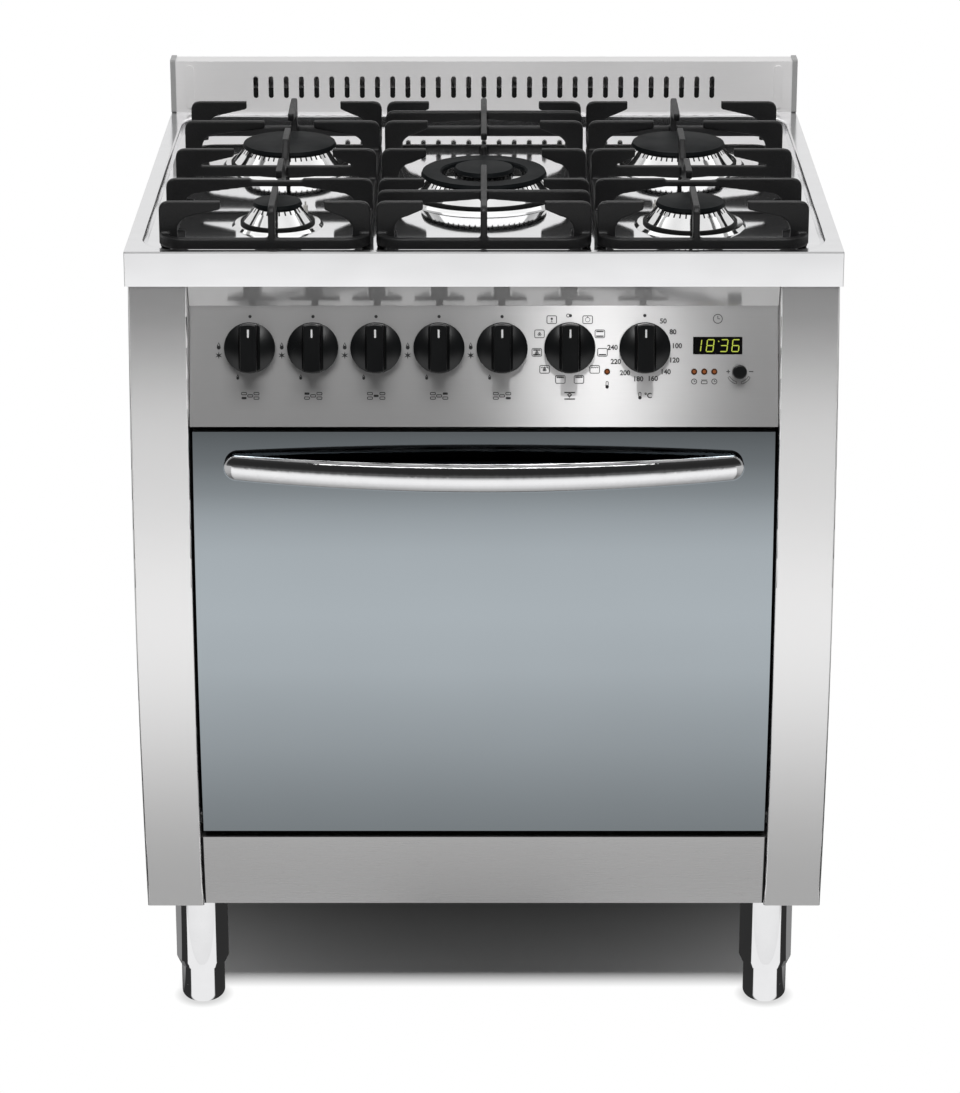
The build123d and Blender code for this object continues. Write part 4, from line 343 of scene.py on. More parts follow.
class Graph:
    """A material's node graph with short ways to add to it."""

    def __init__(self, name):
        self.material = bpy.data.materials.new(name)
        self.material.use_nodes = True
        self.start(self.material.node_tree, "ShaderNodeOutputMaterial")

    @classmethod
    def of_tree(cls, tree, output):
        graph = cls.__new__(cls)
        graph.start(tree, output)
        return graph

    def start(self, tree, output):
        self.tree = tree
        self.tree.nodes.clear()
        self.output = self.add(output)

    def add(self, kind, **values):
        node = self.tree.nodes.new(kind)
        for key, value in values.items():
            setattr(node, key, value)
        return node

    def link(self, source, target):
        self.tree.links.new(source, target)

    def principled(self, **values):
        node = self.add("ShaderNodeBsdfPrincipled")
        for key, value in values.items():
            node.inputs[key.replace("_", " ")].default_value = value
        self.link(node.outputs["BSDF"], self.output.inputs["Surface"])
        self.bsdf = node
        return node

    def coords(self, scale):
        """Object coordinates in metres, stretched by scale."""
        place = self.add("ShaderNodeTexCoord")
        mapping = self.add("ShaderNodeMapping")
        mapping.inputs["Scale"].default_value = scale
        self.link(place.outputs["Object"], mapping.inputs["Vector"])
        return mapping.outputs["Vector"]

    def axis(self, name):
        """One object coordinate in metres."""
        return self.split(self.coords((1.0, 1.0, 1.0)))[name]

    def split(self, vector):
        """Parts of a vector along each axis."""
        node = self.add("ShaderNodeSeparateXYZ")
        self.link(vector, node.inputs["Vector"])
        return node.outputs

    def noise(self, scale, detail=3.0, roughness=0.55):
        node = self.add("ShaderNodeTexNoise")
        node.inputs["Scale"].default_value = 1.0
        node.inputs["Detail"].default_value = detail
        node.inputs["Roughness"].default_value = roughness
        self.link(self.coords(scale), node.inputs["Vector"])
        return node.outputs["Fac"]

    def ramp(self, source, low, high, start=0.3, end=0.7):
        """Maps a 0 to 1 value to numbers between low and high."""
        node = self.add("ShaderNodeMapRange")
        node.inputs["From Min"].default_value = start
        node.inputs["From Max"].default_value = end
        node.inputs["To Min"].default_value = low
        node.inputs["To Max"].default_value = high
        self.link(source, node.inputs["Value"])
        return node.outputs["Result"]

    def stops(self, source, points):
        """Maps a 0 to 1 value through (position, level) points."""
        node = self.add("ShaderNodeValToRGB")
        elements = node.color_ramp.elements
        elements[0].position, first = points[0]
        elements[1].position, last = points[-1]
        elements[0].color = (first, first, first, 1.0)
        elements[1].color = (last, last, last, 1.0)
        for position, level in points[1:-1]:
            elements.new(position).color = (level, level, level, 1.0)
        self.link(source, node.inputs["Fac"])
        return node.outputs["Color"]

    def math(self, operation, *values):
        node = self.add("ShaderNodeMath", operation=operation)
        self.feed(values, node.inputs)
        return node.outputs["Value"]

    def mix(self, share, low, high):
        """Number between low and high by a 0 to 1 share."""
        node = self.add("ShaderNodeMix")
        self.feed((share, low, high), (node.inputs[0], node.inputs[2], node.inputs[3]))
        return node.outputs["Result"]

    def feed(self, values, sockets):
        for value, socket in zip(values, sockets):
            if isinstance(value, (int, float)):
                socket.default_value = value
            else:
                self.link(value, socket)

    def tint(self, source, dark, light):
        """Colour between dark and light by a 0 to 1 value."""
        node = self.add("ShaderNodeValToRGB")
        node.color_ramp.elements[0].color = (*dark, 1.0)
        node.color_ramp.elements[1].color = (*light, 1.0)
        node.color_ramp.elements[0].position = 0.3
        node.color_ramp.elements[1].position = 0.7
        self.link(source, node.inputs["Fac"])
        return node.outputs["Color"]

    def blend(self, share, shade, colour):
        """Turns from a shade to an even colour by a 0 to 1 share."""
        node = self.add("ShaderNodeMix", data_type="RGBA")
        node.inputs["B"].default_value = (*colour, 1.0)
        self.link(share, node.inputs["Factor"])
        self.link(shade, node.inputs["A"])
        return node.outputs["Result"]

    def either(self, share, first, second):
        """Turns from one shader to another by a 0 to 1 share."""
        node = self.add("ShaderNodeMixShader")
        self.link(share, node.inputs["Fac"])
        self.link(first.outputs[0], node.inputs[1])
        self.link(second.outputs[0], node.inputs[2])
        return node

    def paint(self, source, colour, low, high):
        """Base colour between two shares of a colour."""
        self.shade = self.tint(source, scaled(colour, low), scaled(colour, high))
        self.link(self.shade, self.bsdf.inputs["Base Color"])

    def polish(self, source, low, high):
        """Roughness between two values."""
        self.gloss = self.ramp(source, low, high)
        self.link(self.gloss, self.bsdf.inputs["Roughness"])

    def bump(self, source, strength, distance):
        node = self.add("ShaderNodeBump")
        node.inputs["Strength"].default_value = strength
        node.inputs["Distance"].default_value = distance
        self.link(source, node.inputs["Height"])
        self.link(node.outputs["Normal"], self.bsdf.inputs["Normal"])

    def grain_across(self, along):
        """Tangent in the surface, square to the grain direction."""
        normal = self.add("ShaderNodeNewGeometry")
        cross = self.add("ShaderNodeVectorMath", operation="CROSS_PRODUCT")
        cross.inputs[1].default_value = along
        self.link(normal.outputs["Normal"], cross.inputs[0])
        self.link(cross.outputs["Vector"], self.bsdf.inputs["Tangent"])


def scaled(colour, factor):
    return tuple(c * factor for c in colour)


def brushed_steel(name, colour, roughness, metallic=1.0, spread=0.75):
    """Steel sheet brushed along X: fine streaks, and gloss spread across them."""
    g = Graph(name)
    g.principled(Metallic=metallic, Anisotropic=spread)
    streak = g.noise(BRUSH_GRAIN, roughness=0.6)
    g.paint(streak, colour, 0.985, 1.015)
    g.polish(streak, roughness * 0.96, roughness * 1.04)
    g.bump(streak, *BRUSH_BUMP)
    g.grain_across(BRUSH_ALONG)
    return g


def panel_steel(name, colour, roughness, metallic, spread):
    """Brushed steel that is glossier on the strip over the fold, where its colour is painted brighter as a painted
    highlight.
    """
    g = brushed_steel(name, colour, roughness, metallic, spread)
    over_fold = g.ramp(g.axis("Z"), 0.0, 1.0, *FOLD_BAND)
    # painted highlight: the strip's base colour is raised above the panel's
    g.link(g.blend(over_fold, g.shade, scaled(colour, STRIP_PAINTED_BRIGHTER)), g.bsdf.inputs["Base Color"])
    g.link(g.mix(over_fold, g.gloss, STRIP_ROUGHNESS), g.bsdf.inputs["Roughness"])
    return g


def hob_steel(name, colour, roughness):
    """Pressed steel with slight waves and faint wiping marks, polished in the sunk pan."""
    g = Graph(name)
    g.principled(Metallic=1.0)
    smear = g.noise(SMEAR_GRAIN, detail=4.0)
    wave = g.noise(WAVE_GRAIN, detail=1.5)
    g.paint(smear, colour, 0.97, 1.02)
    low = g.ramp(g.axis("Z"), 1.0, 0.0, *PAN_TOP)
    inside = g.ramp(g.axis("Y"), 0.0, 1.0, *PAN_FRONT)
    in_pan = g.math("MULTIPLY", low, inside)
    gloss = g.ramp(smear, roughness * 0.8, roughness * 1.25)
    g.link(g.mix(in_pan, gloss, PAN_ROUGHNESS), g.bsdf.inputs["Roughness"])
    g.bump(wave, *WAVE_BUMP)
    return g


def chrome(name, colour, roughness):
    """Plated metal with the slightest haze."""
    g = Graph(name)
    g.principled(Metallic=1.0)
    haze = g.noise(HAZE_GRAIN)
    g.paint(haze, colour, 0.97, 1.0)
    g.polish(haze, roughness * 0.7, roughness * 1.4)
    return g


def handle_chrome(name, colour, roughness):
    """Chrome with painted shade: its colour is darkened on the side toward the door."""
    g = chrome(name, colour, roughness)
    place = g.add("ShaderNodeTexCoord")
    facing = g.split(place.outputs["Normal"])["Y"]
    toward_door = g.ramp(facing, 0.0, 1.0, *HANDLE_PAINTED_SHADE_TURN)
    # painted shade: the colour darkens on faces toward the door
    g.link(g.blend(toward_door, g.shade, scaled(colour, HANDLE_BACK_PAINTED_SHADE)), g.bsdf.inputs["Base Color"])
    return g


def grained(name, colour, roughness, grain, strength, distance, metallic=0.0, spread=0.25, shine=0.5):
    """Moulded, cast or painted surface with an even grain."""
    g = Graph(name)
    g.principled(Metallic=metallic, Specular_IOR_Level=shine)
    fine = g.noise((grain, grain, grain))
    broad = g.noise(BROAD_GRAIN)
    g.paint(fine, colour, 1.0 - spread, 1.0 + spread)
    g.polish(broad, roughness * 0.88, roughness * 1.12)
    g.bump(fine, strength, distance)
    return g


def clear(name, colour, roughness):
    """Clear glass."""
    g = Graph(name)
    g.principled(Transmission_Weight=1.0, IOR=1.5)
    film = g.noise(FILM_GRAIN)
    g.paint(film, colour, 0.98, 1.0)
    g.polish(film, roughness, roughness + 0.02)
    return g


def mirror_glass(name, colour, roughness):
    """Tinted glass with a mirror film behind it."""
    g = Graph(name)
    g.principled(Metallic=1.0, Coat_Weight=0.25, Coat_Roughness=0.02)
    film = g.noise(MIRROR_GRAIN, detail=2.0)
    g.paint(film, colour, 0.985, 1.015)
    g.polish(film, roughness, roughness * 1.2)
    return g


def glowing(name, colour, glow, strength):
    """Lit lens or digit."""
    g = Graph(name)
    g.principled(Roughness=0.3, Coat_Weight=0.5, Emission_Color=(*glow, 1.0), Emission_Strength=strength)
    fine = g.noise(LENS_GRAIN)
    g.paint(fine, colour, 0.9, 1.0)
    return g


# Looks by record slot; a grained one gives roughness, grain, bump strength and depth, metallic and spread
MATERIALS = {
    "polished_steel": hob_steel("polished_steel", (0.92, 0.92, 0.93), 0.15),
    "brushed_steel": brushed_steel("brushed_steel", (0.70, 0.69, 0.69), 0.30),
    "chrome": chrome("chrome", (0.90, 0.90, 0.91), 0.04),
    "cast_aluminium": grained("cast_aluminium", (0.86, 0.86, 0.86), 0.22, 700.0, 0.1, 0.0002, 1.0, 0.05),
    "black_enamel": grained("black_enamel", (0.006, 0.0075, 0.0085), 0.52, 900.0, 0.10, 0.0002, shine=0.09),
    "cast_iron": grained("cast_iron", (0.008, 0.008, 0.0085), 0.46, 700.0, 0.7, 0.0006, shine=0.5),
    "black_plastic": grained("black_plastic", (0.006, 0.0065, 0.007), 0.30, 1500.0, 0.08, 0.0001),
    "grey_plastic": grained("grey_plastic", (0.50, 0.50, 0.50), 0.35, 1200.0, 0.06, 0.0001, 0.0, 0.05),
    "white_ceramic": grained("white_ceramic", (0.80, 0.78, 0.74), 0.25, 500.0, 0.05, 0.0001, 0.0, 0.05),
    "amber_lens": glowing("amber_lens", (0.28, 0.085, 0.025), (1.0, 0.30, 0.10), 0.06),
    "mirror_glass": mirror_glass("mirror_glass", (0.40, 0.445, 0.475), 0.05),
    "clear_glass": clear("clear_glass", (0.86, 0.90, 0.90), 0.0),
    "lamp_glass": clear("lamp_glass", (0.95, 0.93, 0.86), 0.08),
    "zinc_steel": grained("zinc_steel", (0.52, 0.53, 0.54), 0.42, 160.0, 0.04, 0.0003, 1.0, 0.08),
    "chromed_wire": chrome("chromed_wire", (0.80, 0.80, 0.81), 0.14),
    "brass": grained("brass", (0.72, 0.55, 0.24), 0.30, 600.0, 0.06, 0.0002, 1.0, 0.06),
    "gas_tube": grained("gas_tube", (0.72, 0.72, 0.72), 0.34, 500.0, 0.05, 0.0002, 1.0, 0.06),
    "mineral_wool": grained("mineral_wool", (0.72, 0.66, 0.46), 0.9, 220.0, 0.7, 0.003, 0.0, 0.2),
    "seal_rubber": grained("seal_rubber", (0.03, 0.03, 0.03), 0.7, 800.0, 0.2, 0.0003),
}

# Looks for single nodes and for the pieces added here
# painted light: columns, panel, backguard and plinth are one steel, but each gets its own lighter colour to set
# how bright it looks
COLUMN_STEEL = brushed_steel("column_steel", (0.95, 0.945, 0.945), 0.24, spread=0.6)
PANEL_STEEL = panel_steel("panel_steel", (0.76, 0.755, 0.755), 0.20, 0.62, 0.8)
GUARD_STEEL = brushed_steel("guard_steel", (0.95, 0.94, 0.94), 0.42, 0.35, 0.4)
PLINTH_STEEL = brushed_steel("plinth_steel", (0.80, 0.795, 0.795), 0.28)
INK = grained("panel_ink", (0.012, 0.012, 0.013), 0.45, 1500.0, 0.02, 0.0001)
DISPLAY_DARK = grained("display_dark", (0.006, 0.006, 0.006), 0.08, 300.0, 0.01, 0.0001)
DIGIT_GLOW = glowing("digit_glow", (0.30, 0.36, 0.04), (0.55, 0.62, 0.09), 0.6)
LENS_SHADE_BROWN = grained("lens_shade_brown", (0.055, 0.016, 0.006), 0.3, 900.0, 0.03, 0.0001)
HANDLE_CHROME_PAINTED_SHADE = handle_chrome("handle_chrome", (0.90, 0.90, 0.91), 0.04)
BURNER_METAL = chrome("burner_metal", (0.88, 0.88, 0.88), 0.07)
# black that stands for shade: the plinth gaps, the vent slots, the flame ports and the crown feet are painted
# shade
PAINTED_SHADE_BLACK = grained("painted_shade_black", (0.008, 0.008, 0.008), 0.6, 1200.0, 0.2, 0.0002, shine=0.2)
POINTER_WHITE = grained("pointer_white", (0.85, 0.85, 0.85), 0.4, 900.0, 0.03, 0.0001, 0.0, 0.04)
BLACK_PAINT_AND_GAP_SHADE = grained("black_paint_and_gap_shade", (0.02, 0.02, 0.021), 0.38, 900.0, 0.08, 0.0002)


def set_material(obj, graph):
    """Gives the whole object one material."""
    if not obj.material_slots:
        obj.data.materials.append(graph.material)
    for slot in obj.material_slots:
        slot.material = graph.material


def dress_nodes():
    """Gives every CAD node the material of its record slot, and some a closer match."""
    for part in frame["record"]["subparts"]:
        set_material(nodes[part["node"]], MATERIALS[part["material_slot"]])
    dressed = {
        # the door frame is black; the hinge pins and hinge blocks are painted black as painted shade in the gap
        # round the door
        BLACK_PAINT_AND_GAP_SHADE: ["door_frame", "hinge_pins", "door_hinge_blocks"],
        COLUMN_STEEL: COLUMN_NODES,
        PANEL_STEEL: ["control_panel"],
        GUARD_STEEL: ["backguard"],
        PLINTH_STEEL: ["plinth_panel"],
        HANDLE_CHROME_PAINTED_SHADE: ["door_handle"],
        BURNER_METAL: BRIGHT_BURNER_NODES,
    }
    for graph, names in dressed.items():
        for name in names:
            set_material(nodes[name], graph)


def middle_of(name):
    """Middle of a node's box."""
    node = nodes[name]
    corners = [node.matrix_world @ Vector(corner) for corner in node.bound_box]
    return sum(corners, Vector()) / len(corners)


def add_world():
    """White for the camera; all other rays get a room that is dark in front and pale behind."""
    world = bpy.data.worlds.new("studio")
    scene.world = world
    world.use_nodes = True
    g = Graph.of_tree(world.node_tree, "ShaderNodeOutputWorld")
    white = g.add("ShaderNodeBackground")
    white.inputs["Color"].default_value = (1.0, 1.0, 1.0, 1.0)
    room = g.add("ShaderNodeBackground")
    place = g.add("ShaderNodeTexCoord")
    toward = g.split(place.outputs["Generated"])
    front = g.stops(toward["Z"], ROOM_STOPS)
    rear = g.stops(toward["Z"], REAR_STOPS)
    behind = g.ramp(toward["Y"], 0.0, 1.0, *ROOM_TURN)
    g.link(g.mix(behind, front, rear), room.inputs["Strength"])
    path = g.add("ShaderNodeLightPath")
    both = g.either(path.outputs["Is Camera Ray"], room, white)
    g.link(both.outputs["Shader"], g.output.inputs["Surface"])


class Floor(Graph):
    """Material of the floor, with its levels set by place: painted shade for the camera, painted light for the
    reflections.
    """

    def __init__(self):
        super().__init__("studio_floor")
        place = self.add("ShaderNodeNewGeometry")
        at = self.split(place.outputs["Position"])
        foot = middle_of("leg_foot_front_right")
        self.y = at["Y"]
        self.across = self.math("ABSOLUTE", at["X"])
        self.outward = self.math("SUBTRACT", self.across, foot.x)
        self.ahead = self.math("SUBTRACT", foot.y, self.y)
        squares = (self.math("POWER", reach, 2.0) for reach in (self.outward, self.ahead))
        self.from_foot = self.math("SQRT", self.math("ADD", *squares))
        self.path = self.add("ShaderNodeLightPath").outputs

    def seen(self):
        """What the camera sees: white outside the shadow, a painted contact shadow at the front feet, and under
        the cooker a floor colour painted darker toward the back as painted shade.
        """
        under = self.add("ShaderNodeBsdfDiffuse")
        # painted shade: the floor colour under the cooker is lowered toward the back, deepening the shadow there
        self.link(self.ramp(self.y, *PAINTED_SHADOW_TONE, *PAINTED_SHADOW_DEPTH), under.inputs["Color"])
        white = self.add("ShaderNodeEmission")
        # painted contact shadow: the white is dimmed round each front foot
        self.link(self.ramp(self.from_foot, PAINTED_CONTACT_SHADOW_LEVEL, 1.0, *PAINTED_CONTACT_SHADOW_REACH), white.inputs["Strength"])
        side = self.ramp(self.across, 0.0, 1.0, *SHADOW_SIDE)
        front = self.ramp(self.y, 1.0, 0.0, *SHADOW_FRONT)
        rear = self.ramp(self.y, 0.0, 1.0, *SHADOW_REAR)
        outside = self.math("MAXIMUM", self.math("MAXIMUM", side, front), rear)
        return self.either(outside, under, white)

    def pool(self):
        """Level that metal and glass show: a painted pool of light in front, dimmer close by, far off and around.
        """
        away = self.math("SUBTRACT", FRONT_LINE, self.y)
        front = self.stops(self.math("DIVIDE", away, POOL_REACH), POOL_STOPS)
        sideways = self.math("SUBTRACT", self.across, SIDE_LINE)
        around = self.math("MAXIMUM", sideways, self.math("SUBTRACT", self.y, REAR_LINE))
        beside = self.stops(self.math("DIVIDE", around, POOL_REACH), SIDE_STOPS)
        widen = self.math("MULTIPLY", self.math("MAXIMUM", away, 0.0), POOL_WIDENS)
        out = self.math("SUBTRACT", self.math("SUBTRACT", self.across, POOL_HALF), widen)
        side_edge = self.ramp(out, 0.0, 1.0, *POOL_EDGE)
        rear_edge = self.ramp(self.y, 0.0, 1.0, *REAR_EDGE)
        return self.mix(self.math("MAXIMUM", side_edge, rear_edge), front, beside)

    def foot_flank(self):
        """Painted reflection level beside and behind a front foot: grey at its outer flank, else dark."""
        slant = self.math("MULTIPLY", self.outward, FOOT_FLANK_TURN)
        behind = self.math("SUBTRACT", self.math("MULTIPLY", self.ahead, -1.0), slant)
        edges = (self.ramp(reach, 0.0, 1.0, *FOOT_FLANK_EDGE) for reach in (self.outward, behind))
        grey = self.ramp(self.outward, *FOOT_FLANK, *FOOT_FLANK_REACH)
        return self.mix(self.math("MULTIPLY", *edges), FOOT_GLOW[0], grey)

    def foot_glow(self):
        """Painted reflection level that the front legs show: a bright wedge before each foot."""
        start = self.math("SUBTRACT", self.ahead, FOOT_GLOW_START)
        opening = self.math("MULTIPLY", start, FOOT_GLOW_WIDENS)
        aside = self.math("SUBTRACT", self.math("ABSOLUTE", self.outward), opening)
        within = self.ramp(aside, 1.0, 0.0, -FOOT_GLOW_EDGE, FOOT_GLOW_EDGE)
        steep = self.math("GREATER_THAN", self.path["Ray Length"], FOOT_TAPER_RAY)
        beneath = self.math("MULTIPLY", steep, self.math("LESS_THAN", self.from_foot, FOOT_TAPER_REACH))
        taper = self.math("MULTIPLY", beneath, self.math("GREATER_THAN", self.ahead, FOOT_TAPER_START))
        return self.mix(self.math("MAXIMUM", within, taper), self.foot_flank(), FOOT_GLOW[1])

    def mirrored(self):
        """What glossy rays see, all of it painted light: the pool, or close to the front legs their own levels."""
        short = self.math("LESS_THAN", self.path["Ray Length"], FOOT_GLOW_RAY)
        close = self.math("MULTIPLY", short, self.math("LESS_THAN", self.ahead, FOOT_GLOW_REACH))
        glow = self.add("ShaderNodeEmission")
        self.link(self.mix(close, self.pool(), self.foot_glow()), glow.inputs["Strength"])
        return glow

    def finish(self):
        """Puts together what each kind of ray sees."""
        plain = self.add("ShaderNodeBsdfDiffuse")
        plain.inputs["Color"].default_value = (*FLOOR_COLOUR, 1.0)
        lit = self.either(self.path["Is Glossy Ray"], plain, self.mirrored())
        whole = self.either(self.path["Is Camera Ray"], lit, self.seen())
        self.link(whole.outputs["Shader"], self.output.inputs["Surface"])


def add_floor():
    """Floor: white to the camera but for the shadow, plain to soft light, and to the reflections a painted glow
    graded by place.
    """
    look = Floor()
    look.finish()
    mesh = bpy.data.meshes.new("floor")
    h = FLOOR_HALF
    mesh.from_pydata([(-h, -h, 0), (h, -h, 0), (h, h, 0), (-h, h, 0)], [], [(0, 1, 2, 3)])
    floor = bpy.data.objects.new("floor", mesh)
    floor.data.materials.append(look.material)
    scene.collection.objects.link(floor)


def hang_lamp(data, place, target, power, only=(), without=()):
    """Puts a lamp in its place, aimed, and links it to its nodes."""
    name = data.name
    data.energy = power
    lamp = bpy.data.objects.new(name, data)
    lamp.location = place
    lamp.rotation_euler = (Vector(target) - Vector(place)).to_track_quat("-Z", "Y").to_euler()
    lamp.visible_camera = False
    scene.collection.objects.link(lamp)
    if only or without:
        linked = bpy.data.collections.new(f"{name}_linked")
        for node in (*only, *without):
            linked.objects.link(nodes[node])
        for entry in linked.collection_objects:
            entry.light_linking.link_state = "INCLUDE" if only else "EXCLUDE"
        lamp.light_linking.receiver_collection = linked


def add_light(name, place, target, size, power, only=(), without=()):
    """Soft rectangular lamp for all nodes, for some only, or for all but some."""
    data = bpy.data.lights.new(name, "AREA")
    data.shape = "RECTANGLE"
    data.size = size[0]
    data.size_y = size[1]
    hang_lamp(data, place, target, power, only, without)


def add_beam():
    """Narrow beam from above on the panel, where the oven's knobs throw their shadows down it."""
    data = bpy.data.lights.new("beam", "SPOT")
    data.spot_size = math.radians(BEAM_ANGLE)
    data.spot_blend = 1.0
    data.shadow_soft_size = BEAM_RADIUS
    hang_lamp(data, BEAM_PLACE, BEAM_TARGET, BEAM_POWER, ["control_panel"])


def add_card(name, place, target, size, glow, only):
    """White card of an even glow that only some nodes show."""
    power = glow * size[0] * size[1] * math.pi
    add_light(name, place, target, size, power, only)


def add_foot_cards():
    """Low white card standing before each front leg."""
    for side in ("left", "right"):
        foot = middle_of(f"leg_foot_front_{side}")
        level = FOOT_CARD_SIZE[1] / 2
        place = (foot.x, foot.y - FOOT_GLOW_REACH, level)
        legs = ["leg_sleeves", f"leg_foot_front_{side}"]
        add_card(f"foot_card_{side}", place, (foot.x, foot.y, level), FOOT_CARD_SIZE, FOOT_CARD_GLOW, legs)


def add_crown_cards():
    """White cards overhead with gaps between them, shown by the burners."""
    for i, (x, width) in enumerate(CROWN_CARDS):
        place = (x, CROWN_CARDS_MIDDLE, CROWN_CARDS_LEVEL)
        below = (x, CROWN_CARDS_MIDDLE, 0.0)
        size = (width, CROWN_CARDS_DEPTH)
        add_card(f"crown_card_{i}", place, below, size, CROWN_CARDS_GLOW, BRIGHT_BURNER_NODES)


def add_lights():
    """Key lamp overhead, lamps and a beam for single nodes, and white cards."""
    apart = [*BRIGHT_BURNER_NODES, "door_handle", "worktop"]
    add_light("key", KEY_PLACE, LAMP_TARGET, KEY_SIZE, KEY_POWER, without=apart)
    add_card("hob_card", KEY_PLACE, LAMP_TARGET, HOB_CARD_SIZE, HOB_CARD_GLOW, ["worktop"])
    add_light("handle_lamp", KEY_PLACE, LAMP_TARGET, HANDLE_LAMP_SIZE, HANDLE_LAMP_POWER, ["door_handle"])
    add_light("strip", STRIP_PLACE, STRIP_TARGET, STRIP_SIZE, STRIP_POWER, ["control_panel"])
    add_beam()
    guard = middle_of("backguard")
    add_light("guard_lamp", GUARD_LAMP_PLACE, guard, GUARD_LAMP_SIZE, GUARD_LAMP_POWER, ["backguard"])
    add_crown_cards()
    add_card("edge_card", EDGE_CARD_PLACE, EDGE_CARD_ABOVE, EDGE_CARD_SIZE, EDGE_CARD_GLOW, ["worktop"])
    facing = COLUMN_CARD_FACING
    add_card("column_card", COLUMN_CARD_PLACE, facing, COLUMN_CARD_SIZE, COLUMN_CARD_GLOW, COLUMN_NODES)
    add_foot_cards()


panel_joint = joints["function_turn"]
PANEL_NORMAL = Vector(panel_joint["axis"]).normalized()
PANEL_ACROSS = Vector((1.0, 0.0, 0.0))
PANEL_UP = PANEL_NORMAL.cross(PANEL_ACROSS)
FOLD_MIDDLE = Vector(panel_joint["pos_m"]) + KNOB_DOWN * MILLIMETRE * PANEL_UP
FOLD_MIDDLE.x = 0.0


def on_panel(x, down, lift):
    """Point over the sloping panel, from millimetres."""
    place = x * PANEL_ACROSS - down * PANEL_UP + lift * PANEL_NORMAL
    return FOLD_MIDDLE + MILLIMETRE * place


def joint_x(name):
    """Place of a panel control across the cooker, in millimetres."""
    return joints[name]["pos_m"][0] / MILLIMETRE


OVEN_LAMP_X = (joint_x("function_turn") + joint_x("thermostat_turn")) / 2
PROGRAMMER_LAMPS_X = [PROGRAMMER_LAMP_FIRST + PROGRAMMER_LAMP_STEP * i for i in range(3)]


def turned(x, down, radius, degrees):
    """Point at a distance from a middle, in degrees clockwise from the top."""
    turn = math.radians(degrees)
    return (x + radius * math.sin(turn), down - radius * math.cos(turn))


def circle(x, down, radius, start=0.0, end=360.0, count=28):
    """Points round a circle from start to end, in degrees clockwise from the top."""
    full = end - start >= 360.0
    steps = count if full else count + 1
    return [turned(x, down, radius, start + (end - start) * i / count) for i in range(steps)]


def rounded_box(x, down, width, height, corner):
    """Outline of a box with round corners."""
    points = []
    corners = [(1, -1, 0.0), (1, 1, 90.0), (-1, 1, 180.0), (-1, -1, 270.0)]
    for side, level, turn in corners:
        cx = x + side * (width / 2 - corner)
        cd = down + level * (height / 2 - corner)
        points += circle(cx, cd, corner, turn, turn + 90.0, CORNER_STEPS)
    return points


def join_rings(shape, rings, closed=False):
    """Skin over rings with the same number of points, with end faces unless it closes on itself."""
    pairs = list(zip(rings, rings[1:]))
    if closed:
        pairs.append((rings[-1], rings[0]))
    for near, far in pairs:
        for i in range(len(near)):
            j = (i + 1) % len(near)
            shape.faces.new((near[i], near[j], far[j], far[i]))
    if not closed:
        shape.faces.new(rings[0][::-1])
        shape.faces.new(rings[-1])


def add_prism(shape, low, high):
    """Closed solid between two outlines with the same number of points."""
    join_rings(shape, [[shape.verts.new(point) for point in outline] for outline in (low, high)])


class Ink:
    """Thin closed shapes on the panel, gathered in one mesh."""

    def __init__(self, lift):
        self.mesh = bmesh.new()
        self.low, self.high = lift

    def prism(self, outline):
        """Filled outline with the ink's thickness."""
        low, high = ([on_panel(x, d, lift) for x, d in outline] for lift in (self.low, self.high))
        add_prism(self.mesh, low, high)

    def dot(self, x, down, radius, count=16):
        """Filled circle."""
        self.prism(circle(x, down, radius, count=count))

    def stroke(self, points, width=LINE, closed=False):
        """Line of even width through points."""
        pairs = []
        for i, (x, d) in enumerate(points):
            last = points[i - 1] if i or closed else points[i]
            after = points[(i + 1) % len(points)] if i + 1 < len(points) or closed else points[i]
            along = Vector((after[0] - last[0], after[1] - last[1])).normalized()
            side = Vector((-along.y, along.x)) * width / 2
            pairs.append(((x + side.x, d + side.y), (x - side.x, d - side.y)))
        rings = []
        for left, right in pairs:
            levels = ((left, self.high), (right, self.high), (right, self.low), (left, self.low))
            rings.append([self.mesh.verts.new(on_panel(*point, lift)) for point, lift in levels])
        join_rings(self.mesh, rings, closed)

    def ring(self, x, down, radius, width=FINE_LINE, count=28):
        """Circle drawn as a line."""
        self.stroke(circle(x, down, radius, count=count), width, closed=True)

    def bar(self, x, down, half, width=LINE):
        """Level line centred on a point."""
        self.stroke([(x - half, down), (x + half, down)], width)

    def words(self, body, x, down, size):
        """Plain number or sign centred on a point."""
        curve = bpy.data.curves.new("words", "FONT")
        curve.body = body
        curve.size = size * MILLIMETRE
        curve.align_x = "CENTER"
        curve.align_y = "CENTER"
        curve.extrude = (self.high - self.low) / 2 * MILLIMETRE
        curve.offset = BOLDER * MILLIMETRE
        curve.resolution_u = LETTER_STEPS
        holder = bpy.data.objects.new("words", curve)
        solid = bpy.data.meshes.new_from_object(holder)
        turn = Matrix((PANEL_ACROSS, PANEL_UP, PANEL_NORMAL)).transposed().to_4x4()
        middle = on_panel(x, down, (self.high + self.low) / 2)
        solid.transform(Matrix.Translation(middle) @ turn)
        self.mesh.from_mesh(solid)
        bpy.data.objects.remove(holder)
        bpy.data.curves.remove(curve)
        bpy.data.meshes.remove(solid)

    def piece(self, name, body, graph):
        add_piece(self.mesh, name, body, graph)


def add_piece(shape, name, body, graph):
    """Finished piece that rides on a body."""
    bmesh.ops.remove_doubles(shape, verts=shape.verts, dist=MERGE_REACH)
    bmesh.ops.recalc_face_normals(shape, faces=shape.faces)
    mesh = bpy.data.meshes.new(name)
    shape.to_mesh(mesh)
    shape.free()
    obj = bpy.data.objects.new(name, mesh)
    scene.collection.objects.link(obj)
    mesh.materials.append(graph.material)
    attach(obj, body)


